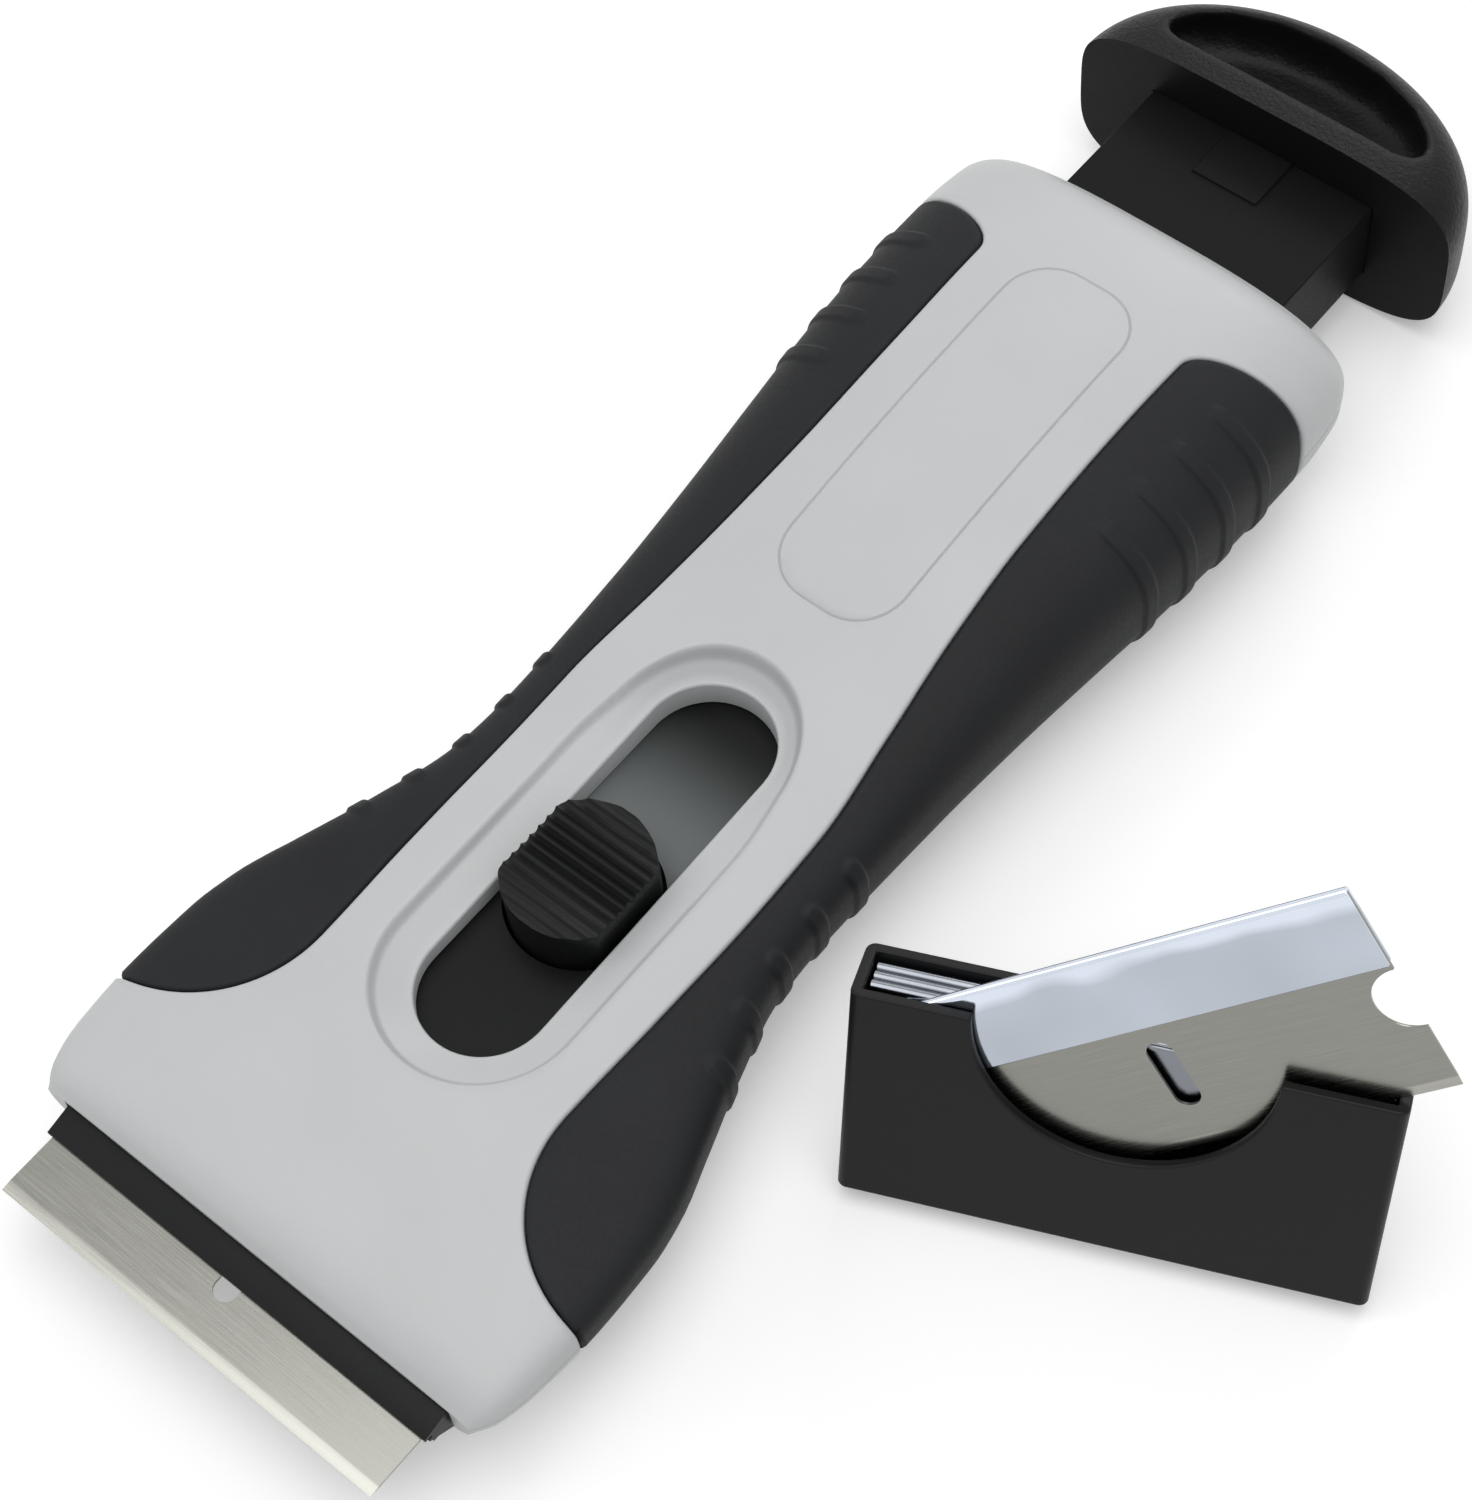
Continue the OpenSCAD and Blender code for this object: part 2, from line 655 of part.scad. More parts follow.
module lower_jaw() {
    groove_floor = blade_level - spine_t / 2 - groove_gap;
    difference() {
        across(jaw_w)
            polygon([[lip_t - clamp_reach, blade_back], [lip_t - clamp_reach, blade_back - lip_t],
                [lip_t, jaw_floor], [jaw_l, jaw_floor], [jaw_l, shelf_h], [hook_at, shelf_h],
                [hook_at, groove_floor], [groove_front, groove_floor], [groove_front, blade_back]]);
        clamp_corners();
    }
}

// Pegs that stand in the notches of the blade, flush with the ends of the clamp
module blade_pegs() {
    both_sides()
        difference() {
            translate([blade_w / 2, notch_at - reach, shelf_h])
                cylinder(r = notch_r - slide_gap, h = blade_face - shelf_h);
            translate([jaw_w / 2, -reach, 0])
                cube([body_w, body_l, body_h]);
        }
}

// Tongue seen in the slot, with the housing of the button under it
module tongue() {
    house_front = button_at - house_l / 2;
    house_back = button_at + house_l / 2;
    across(tongue_w)
        polygon([[hook_at, jaw_floor], [house_front, jaw_floor], [house_front, house_base],
            [house_back, house_base], [house_back, jaw_floor], [tongue_l, jaw_floor],
            [tongue_l, tongue_top], [jaw_l + seat_gap, tongue_top], [jaw_l + seat_gap, shelf_h],
            [hook_at, shelf_h]]);
}

module slide_carriage() {
    color("#232324")
        in_body()
            difference() {
                union() {
                    lower_jaw();
                    blade_pegs();
                    tongue();
                }
                translate([0, 0, well_floor])
                    linear_extrude(body_h)
                        button_plan(slide_gap);
                block(channel_w, button_at - ear_l / 2 - slide_gap, button_at + ear_l / 2 + slide_gap,
                    cross_floor - press - slide_gap, cross_top + seat_gap);
                at_clamp_screws() {
                    translate([0, 0, -over])
                        cylinder(d = clamp_screw_d + 2 * seat_gap, h = body_h);
                    translate([0, 0, -over])
                        cylinder(d = clamp_head_d + 2 * seat_gap, h = clamp_head_h + over);
                }
            }
}

module clamp_bar() {
    groove_roof = blade_level + spine_t / 2 + groove_gap;
    color("#28282a")
        in_body()
            difference() {
                across(jaw_w)
                    polygon([[-clamp_reach, blade_face], [groove_front, blade_face],
                        [groove_front, groove_roof], [hook_at, groove_roof],
                        [hook_at, shelf_h], [jaw_l, shelf_h], [jaw_l, bar_top],
                        [lip_t, bar_top], [-clamp_reach, blade_face + lip_t]]);
                clamp_corners();
                at_clamp_screws()
                    cylinder(d = clamp_screw_d, h = clamp_screw_h);
            }
}

module clamp_screws() {
    color("silver")
        in_body()
            at_clamp_screws() {
                cylinder(d = clamp_screw_d, h = clamp_screw_h);
                cylinder(d = clamp_head_d, h = clamp_head_h);
            }
}

// One blade with its edge on the x axis and its middle plane at z = 0, reaching back along y
module blade_steel() {
    difference() {
        across(blade_w)
            polygon([[0, 0], [bevel_w, -blade_t / 2], [steel_d, -blade_t / 2],
                [steel_d, blade_t / 2], [bevel_w, blade_t / 2]]);
        translate([0, hole_at, -over])
            linear_extrude(2 * over)
                stadium(hole_w, hole_l);
        for (s = [-1, 1])
            translate([s * blade_w / 2, notch_at, -over])
                cylinder(r = notch_r, h = 2 * over);
    }
}

// The folded spine of the same blade, rounded along its back
module blade_fold() {
    across(blade_w)
        difference() {
            union() {
                translate([blade_d - spine_w, -spine_t / 2])
                    square([spine_w - spine_t / 2, spine_t]);
                translate([blade_d - spine_t / 2, 0])
                    circle(spine_t / 2);
            }
            translate([0, -blade_t / 2])
                square([steel_d, blade_t]);
        }
}

module at_edge() {
    translate([0, -reach, blade_level])
        children();
}

module blade() {
    color("#a9aaa6")
        in_body()
            at_edge()
                blade_steel();
}

module blade_spine() {
    color("#bcc4ce")
        in_body()
            at_edge()
                blade_fold();
}

// Top of the button: saw teeth that fall towards the drawer
module ridge_profile() {
    polygon(concat([[0, cross_floor], [button_l, cross_floor]],
        [for (i = [ridge_count - 1:-1:0]) each [
            [(i + 1) * ridge_pitch, button_top - ridge_h],
            [i * ridge_pitch, button_top]]]));
}

module thumb_button() {
    color("#1f2021")
        in_body() {
            intersection() {
                translate([0, 0, cross_floor])
                    linear_extrude(button_top - cross_floor)
                        button_plan(0);
                translate([0, button_at - button_l / 2, 0])
                    across(button_w)
                        ridge_profile();
            }
            block(2 * ear_end, button_at - ear_l / 2, button_at + ear_l / 2, cross_floor, cross_top);
            both_sides()
                translate([ear_at, button_at - ear_l / 2, cross_floor])
                    cube([ear_t, ear_l, channel_top + ear_h - cross_floor]);
        }
}

module button_spring() {
    color("silver")
        in_body()
            translate([0, button_at + spring_l / 2, well_floor])
                rotate([90, 0, 0])
                    linear_extrude(spring_l)
                        intersection() {
                            translate([0, spring_rise - spring_r])
                                difference() {
                                    circle(spring_r);
                                    circle(spring_r - spring_t);
                                }
                            translate([-spring_w / 2, 0])
                                square([spring_w, spring_rise]);
                        }
}

module drawer_tray() {
    color("#1c1c1d")
        in_body()
            difference() {
                union() {
                    block(tray_w, tray_front, flange_at + socket_d, tray_level, tray_top);
                    block(catch_w, flange_at - catch_l, flange_at, tray_level, tray_top + catch_h);
                }
                block(tray_inner_w, tray_front + tray_wall, flange_at - roof_l, tray_level + tray_floor, body_h);
                block(tray_inner_w, tray_front + tray_wall, flange_at - tray_wall, tray_level + tray_floor,
                    tray_top - tray_floor);
            }
}

// Half oval of the pull at a share of its half height
function pull_scale(share) = (1 - abs(share) ^ pull_power) ^ (1 / pull_power);
function pull_ring(share) = [for (i = [0:pull_sides]) let (a = 180 * i / pull_sides)
    [pull_w / 2 * pull_scale(share) * cos(a),
     flange_at + pull_d * pull_scale(share) * sin(a),
     parting_h + pull_h / 2 * share]];

// Finger hollow: a round dish, cut off straight along its front
module finger_hollow() {
    intersection() {
        translate([0, hollow_front + hollow_d - hollow_r, parting_h + pull_h / 2 - hollow_h])
            rotate_extrude($fn = 96) {
                translate([0, hollow_round])
                    square([hollow_r, body_h]);
                square([hollow_r - hollow_round, body_h]);
                translate([hollow_r - hollow_round, hollow_round])
                    circle(hollow_round, $fn = 24);
            }
        block(pull_w, hollow_front, hollow_front + pull_d, 0, 2 * body_h);
    }
}

module drawer_pull() {
    color("#1c1c1d")
        in_body()
            difference() {
                skin([for (share = reversed(pull_shares)) pull_ring(share)]);
                block(tray_w + 2 * seat_gap, flange_at - over, flange_at + socket_d,
                    tray_level - seat_gap, tray_top + seat_gap);
                finger_hollow();
            }
}

// Places the magazine on the table: front wall along x, opening along z
module in_magazine() {
    in_body()
        translate([mag_x, mag_y, mag_d * sin(mag_lean)])
            rotate([0, 0, mag_turn])
                rotate([-mag_lean, 0, 0])
                    children();
}

module round_plan(width, length, r) {
    translate([r, 0])
        square([width - 2 * r, length]);
    translate([0, r])
        square([width, length - 2 * r]);
    for (x = [r, width - r], y = [r, length - r])
        translate([x, y])
            circle(r);
}

module magazine_case() {
    color("#252526")
        in_magazine()
            difference() {
                linear_extrude(mag_h)
                    round_plan(mag_l, mag_d, mag_corner);
                translate([mag_wall, mag_wall, mag_floor])
                    cube([mag_l - 2 * mag_wall, mag_d - 2 * mag_wall, mag_h]);
                translate([mag_l / 2, -over, mag_h])
                    rotate([-90, 0, 0])
                        cylinder(r = cutout_r, h = mag_wall + 2 * over, $fn = 96);
            }
}

// A stored blade stands on its edge; the first stands at the back wall
module stored(i) {
    in_magazine()
        translate([mag_l / 2, mag_d - mag_wall - seat_gap - (i + 1 / 2) * stack_pitch, mag_floor + seat_gap])
            rotate([90, 0, 0])
                children();
}

module drawn() {
    in_magazine()
        translate([draw_at, mag_wall + seat_gap + stack_pitch / 2, draw_z])
            rotate([0, -draw_tilt, 0])
                translate([blade_w / 2, 0, 0])
                    rotate([90, 0, 0])
                        children();
}

module spare_blade_a() {
    color("#8f8c84")
        stored(0)
            blade_steel();
}

module spare_blade_b() {
    color("#8f8c84")
        stored(1)
            blade_steel();
}

module spare_blade_c() {
    color("#8f8c84")
        stored(2)
            blade_steel();
}

module spare_spine_a() {
    color("#bcc4ce")
        stored(0)
            blade_fold();
}

module spare_spine_b() {
    color("#bcc4ce")
        stored(1)
            blade_fold();
}

module spare_spine_c() {
    color("#bcc4ce")
        stored(2)
            blade_fold();
}

module drawn_blade() {
    color("#8f8c84")
        drawn()
            blade_steel();
}

module drawn_spine() {
    color("#bcc4ce")
        drawn()
            blade_fold();
}

upper_shell();
lower_shell();
left_grip();
right_grip();
shell_screws();
slide_carriage();
clamp_bar();
clamp_screws();
blade();
blade_spine();
thumb_button();
button_spring();
drawer_tray();
drawer_pull();
magazine_case();
spare_blade_a();
spare_blade_b();
spare_blade_c();
spare_spine_a();
spare_spine_b();
spare_spine_c();
drawn_blade();
drawn_spine();
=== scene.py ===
"""Looks of a razor blade scraper with a storage drawer and a magazine of spare blades.

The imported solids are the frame. The moulded shells, grips, button, latch bar and drawer pull are drawn
again from the same lofts and sizes, finer and with rounded edges; the other pieces keep their solids,
with softened edges and materials of their own. Lengths inside the functions are millimetres, with y
measured back from the mouth of the handle; a piece's mesh is metres in the frame of the solids.
"""

import math

import bmesh
import bpy
import numpy as np
from bpy.props import FloatProperty, FloatVectorProperty, IntProperty, PointerProperty
from mathutils import Matrix, Vector


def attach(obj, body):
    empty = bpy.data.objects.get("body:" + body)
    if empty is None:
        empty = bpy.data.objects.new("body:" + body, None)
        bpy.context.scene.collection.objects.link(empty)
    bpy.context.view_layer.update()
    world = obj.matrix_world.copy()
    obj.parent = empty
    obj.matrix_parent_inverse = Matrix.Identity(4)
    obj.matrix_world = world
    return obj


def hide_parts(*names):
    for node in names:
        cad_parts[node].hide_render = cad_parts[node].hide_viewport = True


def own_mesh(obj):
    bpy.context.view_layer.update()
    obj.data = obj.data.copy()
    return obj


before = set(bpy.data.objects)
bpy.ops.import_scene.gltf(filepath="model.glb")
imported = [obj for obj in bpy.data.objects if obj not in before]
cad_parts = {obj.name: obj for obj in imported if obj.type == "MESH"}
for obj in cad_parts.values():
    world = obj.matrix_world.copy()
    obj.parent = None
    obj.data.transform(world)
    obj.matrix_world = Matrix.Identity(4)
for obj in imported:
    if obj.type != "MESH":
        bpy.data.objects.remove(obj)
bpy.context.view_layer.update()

bl_info = {
    "name": "Razor blade scraper",
    "version": (1, 0, 0),
    "blender": (4, 5, 0),
    "location": "View3D > Sidebar > Scraper",
    "description": "Draws a retractable razor blade scraper, its drawer and its magazine of blades",
    "category": "Object",
}

MM = 0.001

# Sizes of the solids that the lofts and cuts follow, in millimetres
BODY_L, BODY_W, BODY_H, PARTING_H, REST_AT = 115.0, 48.7, 19.25, 9.2, 62.0
GRIP_T, GRIP_FRONT, GRIP_SWEEP, GRIP_REAR, GRIP_ROUND = 1.4, 10.0, 12.0, 7.7, 4.0
SLOT_AT, SLOT_L, SLOT_W, RIM_FRONT_H, RIM_REAR_H = 21.2, 38.3, 11.4, 11.2, 12.5
POCKET_W, POCKET_END, POCKET_CORNER, MOUTH_FLOOR, CHANNEL_TOP = 40.5, 26.8, 4.0, 5.6, 9.8
CHANNEL_W, CHANNEL_FRONT, CHANNEL_END, CHANNEL_FLOOR = 20.8, 20.0, 71.3, 3.1
BAY_W, BAY_FRONT, BAY_FLOOR, BAY_TOP = 23.8, 72.3, 4.31, 13.51
CATCH_W, CATCH_FRONT, CATCH_TOP = 7.3, 108.9, 13.86
GROOVE_X, GROOVE_W, GROOVE_FRONT, GROOVE_L, GROOVE_TOP = 8.5, 1.9, 27.0, 24.6, 10.9
BUTTON_AT, BUTTON_L, BUTTON_W, BUTTON_TOP, BUTTON_FOOT = 38.3, 12.6, 10.2, 14.5, 7.3
EAR_AT, EAR_T, EAR_L, EAR_TOP, CROSS_TOP, PRESS = 8.8, 1.3, 4.0, 10.6, 8.3, 1.2
FLANGE_AT, PULL_W, PULL_H, PULL_D, PULL_POWER = 130.5, 39.4, 18.0, 14.0, 4.0
TRAY_W, TRAY_LEVEL, TRAY_TOP, SOCKET_D = 23.3, 4.56, 13.26, 2.0
HOLLOW_H, HOLLOW_ROUND = 5.5, 3.0
BLADE_W, BLADE_D, BLADE_LEVEL, REACH, BEVEL_W, HOLE_W = 39.0, 19.0, 8.3, 8.0, 0.95, 2.1
MAG_X, MAG_Y, MAG_L, MAG_D, MAG_H, MAG_WALL, MAG_FLOOR = 28.9, 33.6, 41.2, 5.95, 20.7, 0.9, 1.0
MAG_LEAN, MAG_TURN, DRAW_TILT, DRAW_AT = 20.0, 24.0, 34.0, 12.0
STACK_PITCH, SEAT_GAP = 1.0, 0.05

# Sizes of the looks alone: rim of the slot, oval panel, seat of the grips, hole of the blades, finger hollow
RIM_REACH, RIM_NARROWER, RIM_NARROW_AT, RIM_NARROW_L = 9.2, 1.2, 47.0, 11.0
RIM_STEP_W, RIM_STEP_SHARE, RIM_EDGE = 0.75, 0.4, 0.3
PANEL_AT, PANEL_L, PANEL_W, PANEL_ROUND, PANEL_GROOVE_D = 86.63, 37.94, 11.9, 4.6, 0.16
GRIP_T_LOW, SEAT_FLOOR, GRIP_FLOOR = 1.0, 0.4, 0.3
HOLE_EDGE, HOLE_BACK = 3.9, 6.5
HOLLOW_MID, HOLLOW_SPREAD = 136.9, 8.0

# Distances in metres within which points are joined, in a new mesh and after a cut
NEAR, NEAR_CUT = 2e-6, 3e-7

# Shares of the handle's length, each with a share of its size there
WIDTH_SHARES = ((0, 0.912), (0.017, 0.958), (0.045, 0.985), (0.1, 1), (0.157, 0.99), (0.195, 0.96),
                (0.243, 0.883), (0.3, 0.79), (0.365, 0.708), (0.41, 0.695), (0.54, 0.715),
                (0.626, 0.743), (0.713, 0.784), (0.783, 0.819), (0.852, 0.842), (0.939, 0.852),
                (0.983, 0.836), (1, 0.805))
TOP_SHARES = ((0, 0.535), (0.008, 0.587), (0.026, 0.634), (0.061, 0.665), (0.122, 0.678),
              (0.278, 0.694), (0.374, 0.706), (0.452, 0.738), (0.539, 0.8), (0.626, 0.883),
              (0.713, 0.948), (0.8, 0.987), (0.87, 1), (0.93, 0.99), (0.974, 0.966), (0.991, 0.93),
              (1, 0.883))
BELLY_SHARES = ((0, 0.446), (0.1, 0.2), (0.2, 0.01), (0.26, -0.087), (0.94, -0.087), (0.975, -0.02),
                (1, 0.2))
BORDER_SHARES = ((0, 0.522), (0.19, 0.522), (0.278, 0.533), (0.37, 0.539), (0.452, 0.536),
                 (0.539, 0.494), (0.626, 0.452), (0.713, 0.429), (0.8, 0.425), (0.91, 0.432), (1, 0.44))
CROWN_SHARES = ((0, 4), (0.2, 3.8), (0.4, 3.2), (1, 3))
BELLY_POWER = 2.4


# Lofts


def curve(table, at):
    """Smooth curve through the rows (place, value) of a table, with no overshoot."""
    place, value = np.array(table, float).T
    rise = np.diff(value) / np.diff(place)
    slope = np.concatenate(([rise[0]], np.zeros(len(rise) - 1), [rise[-1]]))
    both = rise[:-1] * rise[1:]
    turning = both <= 0
    slope[1:-1] = np.where(turning, 0, 2 * both / np.where(turning, 1, rise[:-1] + rise[1:]))
    at = np.asarray(at, float)
    i = np.clip(np.searchsorted(place, at, side="right") - 1, 0, len(place) - 2)
    step = place[i + 1] - place[i]
    u = (at - place[i]) / step
    return (value[i] * (1 - 3 * u**2 + 2 * u**3) + step * slope[i] * (u - 2 * u**2 + u**3)
            + value[i + 1] * (3 * u**2 - 2 * u**3) + step * slope[i + 1] * (u**3 - u**2))


def eased(u):
    """Soft step from 0 to 1."""
    u = np.clip(u, 0, 1)
    return 3 * u**2 - 2 * u**3


def half_width(y):
    return BODY_W / 2 * curve(WIDTH_SHARES, np.asarray(y) / BODY_L)


def depth_and_power(y, upper):
    """Height of the section above or below the parting plane, and its roundness."""
    share = np.asarray(y) / BODY_L
    if upper:
        return BODY_H * curve(TOP_SHARES, share) - PARTING_H, curve(CROWN_SHARES, share)
    return PARTING_H * (1 - curve(BELLY_SHARES, share)), BELLY_POWER + 0 * share


def border(y):
    """Half width of the pale band between the grips, swept out at both of their ends."""
    plain = BODY_W / 2 * curve(BORDER_SHARES, np.asarray(y) / BODY_L)
    front = (GRIP_FRONT + GRIP_SWEEP - y) / GRIP_SWEEP
    rear = (y - (BODY_L - GRIP_REAR - GRIP_ROUND)) / GRIP_ROUND
    u = np.clip(np.maximum(front, rear), 0, 1)
    return plain + (half_width(y) - plain) * (1 - np.sqrt(1 - u**2))


def section(y, angle, upper, inset=0.0):
    """Points of the handle's right half: angle 0 is the parting plane and pi / 2 the middle line."""
    depth, power = depth_and_power(y, upper)
    x = (half_width(y) - inset) * np.cos(angle).clip(0) ** (2 / power)
    z = (depth - inset) * np.sin(angle).clip(0) ** (2 / power)
    return np.stack(np.broadcast_arrays(x, y, PARTING_H + (z if upper else -z)), -1)


def height(x, y, upper=True):
    """Height of the handle's skin over the point x, y."""
    depth, power = depth_and_power(y, upper)
    z = depth * (1 - (np.abs(x) / half_width(y)).clip(0, 1) ** power) ** (1 / power)
    return PARTING_H + (z if upper else -z)


def angle_at(point, upper):
    """The section's angle at points on or near the skin."""
    depth, power = depth_and_power(point[..., 1], upper)
    rise = np.abs(point[..., 2] - PARTING_H) / depth
    return np.arctan2(rise ** (power / 2), (point[..., 0] / half_width(point[..., 1])) ** (power / 2))


def outward(point, upper):
    """Unit normals of the skin at points of its right half."""
    def level(x, y, z):
        depth, power = depth_and_power(y, upper)
        return (x / half_width(y)) ** power + (np.abs(z - PARTING_H) / depth) ** power
    x, y, z = np.moveaxis(point, -1, 0)
    step = 0.01
    y = np.clip(y, step, BODY_L - step)
    slope = np.stack([level(x + step, y, z) - level(x - step, y, z),
                      level(x, y + step, z) - level(x, y - step, z),
                      level(x, y, z + step) - level(x, y, z - step)], -1)
    return slope / np.linalg.norm(slope, axis=-1, keepdims=True)


def border_angle(y, upper):
    power = depth_and_power(y, upper)[1]
    return np.arccos((border(y) / half_width(y)).clip(0, 1) ** (power / 2))


def border_stations(fine, plain):
    """Places along the border, spaced evenly on its curved ends and on its long run."""
    tip = np.linspace(0, 1, 700) ** 5
    front, back = GRIP_FRONT, BODY_L - GRIP_REAR
    y = np.concatenate((front + GRIP_SWEEP * tip,
                        np.linspace(front + GRIP_SWEEP, back - GRIP_ROUND, 900)[1:-1],
                        back - GRIP_ROUND * tip[::-1]))
    run = arc_length(section(y, border_angle(y, True), True))
    ends = np.interp([front + GRIP_SWEEP, back - GRIP_ROUND], y, run)
    marks = [np.linspace(a, b, 1 + round((b - a) / step)) for a, b, step in
             ((0, ends[0], fine), (ends[0], ends[1], plain), (ends[1], run[-1], fine))]
    return np.interp(np.concatenate((marks[0], marks[1][1:], marks[2][1:])), run, y)


def arc_length(points):
    return np.concatenate(([0], np.cumsum(np.linalg.norm(np.diff(points, axis=0), axis=1))))


def border_frame(y, upper):
    """Points of the border, the normals there, and the directions in the skin towards the pale band."""
    point = section(y, border_angle(y, upper), upper)
    normal = outward(point, upper)
    along = np.gradient(point, axis=0)
    inward = np.cross(normal, along) if upper else np.cross(along, normal)
    return point, normal, inward / np.linalg.norm(inward, axis=1, keepdims=True)


def resampled(points, marks):
    """A chain of points walked again at shares of its length."""
    run = arc_length(points)
    at = np.asarray(marks) * run[-1]
    return np.stack([np.interp(at, run, points[:, k]) for k in range(3)], -1)


# Meshes


class Net:
    """Points in millimetres and faces of a piece, gathered sheet by sheet."""

    def __init__(self):
        self.points, self.faces = [], []

    def add(self, points):
        first = len(self.points)
        self.points.extend(np.asarray(points, float).reshape(-1, 3).tolist())
        return first

    def sheet(self, rows, closed=False):
        """Quads over rows of points; a closed sheet joins each row's last point to its first."""
        rows = np.asarray(rows, float)
        count, width = rows.shape[:2]
        first = self.add(rows)
        for i in range(count - 1):
            for j in range(width if closed else width - 1):
                a, b = first + i * width + j, first + i * width + (j + 1) % width
                self.faces.append((a, b, b + width, a + width))

    def face(self, points):
        first = self.add(points)
        self.faces.append(tuple(range(first, first + len(points))))

    def tube(self, rings):
        """A closed sheet over rings of points, with a face on each end."""
        self.sheet(rings, closed=True)
        self.face(rings[0])
        self.face(rings[-1])

    def mesh(self, name, sharp=40.0):
        """One mesh in metres in the frame of the solids, its sheets joined and its normals outward."""
        mesh = bpy.data.meshes.new(name)
        bm = bmesh.new()
        verts = [bm.verts.new((x * MM, (y - REST_AT) * MM, z * MM)) for x, y, z in self.points]
        for face in self.faces:
            bm.faces.new([verts[i] for i in face])
        tidy(bm)
        bm.to_mesh(mesh)
        bm.free()
        smooth(mesh, sharp)
        return mesh


def tidy(bm, near=NEAR):
    """Joins points that fall together and turns the faces outward."""
    bmesh.ops.remove_doubles(bm, verts=bm.verts, dist=near)
    bmesh.ops.dissolve_degenerate(bm, dist=near / 2, edges=bm.edges)
    bmesh.ops.recalc_face_normals(bm, faces=bm.faces)


def smooth(mesh, sharp):
    mesh.shade_smooth()
    mesh.set_sharp_from_angle(angle=math.radians(sharp))


def new_object(name, data):
    """An object of a mesh, lamp or camera, in the scene."""
    made = bpy.data.objects.new(name, data)
    bpy.context.scene.collection.objects.link(made)
    return made


def evened(made):
    """Shades the wide flat faces of a softened solid flat, right up to its rounded edges."""
    made.modifiers.new("even_shading", "WEIGHTED_NORMAL").keep_sharp = True


def piece(name, mesh, body, slot, material, *nodes, place=None):
    """A piece that stands for solids of the frame and moves with a body. A place is the piece's own frame,
    where its mesh isn't in the frame of the solids."""
    made = new_object(name, mesh)
    mesh.materials.clear()
    mesh.materials.append(material)
    if place is not None:
        made.matrix_world = place
    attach(made, body)
    if nodes:
        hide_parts(*nodes)
    return made


def prism(outline, low, high):
    """Closed block over a plan outline between two heights."""
    net = Net()
    net.tube([[(x, y, z) for x, y in outline] for z in (low, high)])
    return net.mesh("cutter")


def oblong(width, front, back):
    return [(-width / 2, front), (width / 2, front), (width / 2, back), (-width / 2, back)]


def cut(mesh, cutters, sharp):
    """The mesh less the cutters."""
    worked = new_object("worked", mesh)
    tools = [new_object("tool", cutter) for cutter in cutters]
    for tool in tools:
        taken = worked.modifiers.new("cut", "BOOLEAN")
        taken.operation, taken.solver, taken.object = "DIFFERENCE", "EXACT", tool
    made = bpy.data.meshes.new_from_object(worked.evaluated_get(bpy.context.evaluated_depsgraph_get()))
    for used in [worked, *tools]:
        bpy.data.objects.remove(used)
    bm = bmesh.new()
    bm.from_mesh(made)
    tidy(bm, NEAR_CUT)
    bm.to_mesh(made)
    bm.free()
    smooth(made, sharp)
    return made


def softened(node, width, segments=2, angle=35.0, place=None):
    """A solid's own mesh with its flat faces joined and its edges rounded by a width in millimetres.
    A place sets the mesh back to that frame, for a piece that carries the place itself."""
    mesh = bpy.data.meshes.new(node + "_soft")
    bm = bmesh.new()
    bm.from_mesh(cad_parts[node].data)
    if place is not None:
        bm.transform(place.inverted())
    bmesh.ops.remove_doubles(bm, verts=bm.verts, dist=NEAR)
    bmesh.ops.dissolve_limit(bm, angle_limit=math.radians(0.6), verts=bm.verts, edges=bm.edges)
    return round_edges(bm, mesh, width, segments, angle)


def round_edges(bm, mesh, width, segments, angle):
    """Fills the mesh with the worked faces, once the edges that turn by more than an angle are rounded."""
    edges = [e for e in bm.edges if len(e.link_faces) == 2 and e.calc_face_angle(0) > math.radians(angle)]
    bmesh.ops.bevel(bm, geom=edges, offset=width * MM, segments=segments, profile=0.5, affect="EDGES",
                    clamp_overlap=True)
    tidy(bm)
    bm.to_mesh(mesh)
    bm.free()
    smooth(mesh, angle)
    return mesh


# Materials


def linear(code):
    """Linear colour of an sRGB hex value."""
    parts = [int(code[i:i + 2], 16) / 255 for i in (1, 3, 5)]
    return tuple(c / 12.92 if c <= 0.04045 else ((c + 0.055) / 1.055) ** 2.4 for c in parts)


def add(tree, kind, settings=None, **sockets):
    """Adds a node, sets it, and gives each named socket a value or another node's output."""
    made = tree.nodes.new(kind)
    for name, value in (settings or {}).items():
        setattr(made, name, value)
    for name, value in sockets.items():
        key = name.replace("_", " ")
        socket = made.inputs[int(key[1:])] if key[1:].isdigit() else made.inputs[key]
        if isinstance(value, bpy.types.NodeSocket):
            tree.links.new(value, socket)
        else:
            socket.default_value = value
    return made


def started(name):
    """An empty material, its node tree, and the object's own coordinates in metres."""
    made = bpy.data.materials.new(name)
    made.use_nodes = True
    tree = made.node_tree
    tree.nodes.clear()
    return made, tree, add(tree, "ShaderNodeTexCoord").outputs["Object"]


def finished(tree, shader):
    """Joins the shader to the material's output."""
    add(tree, "ShaderNodeOutputMaterial", Surface=shader.outputs["BSDF"])


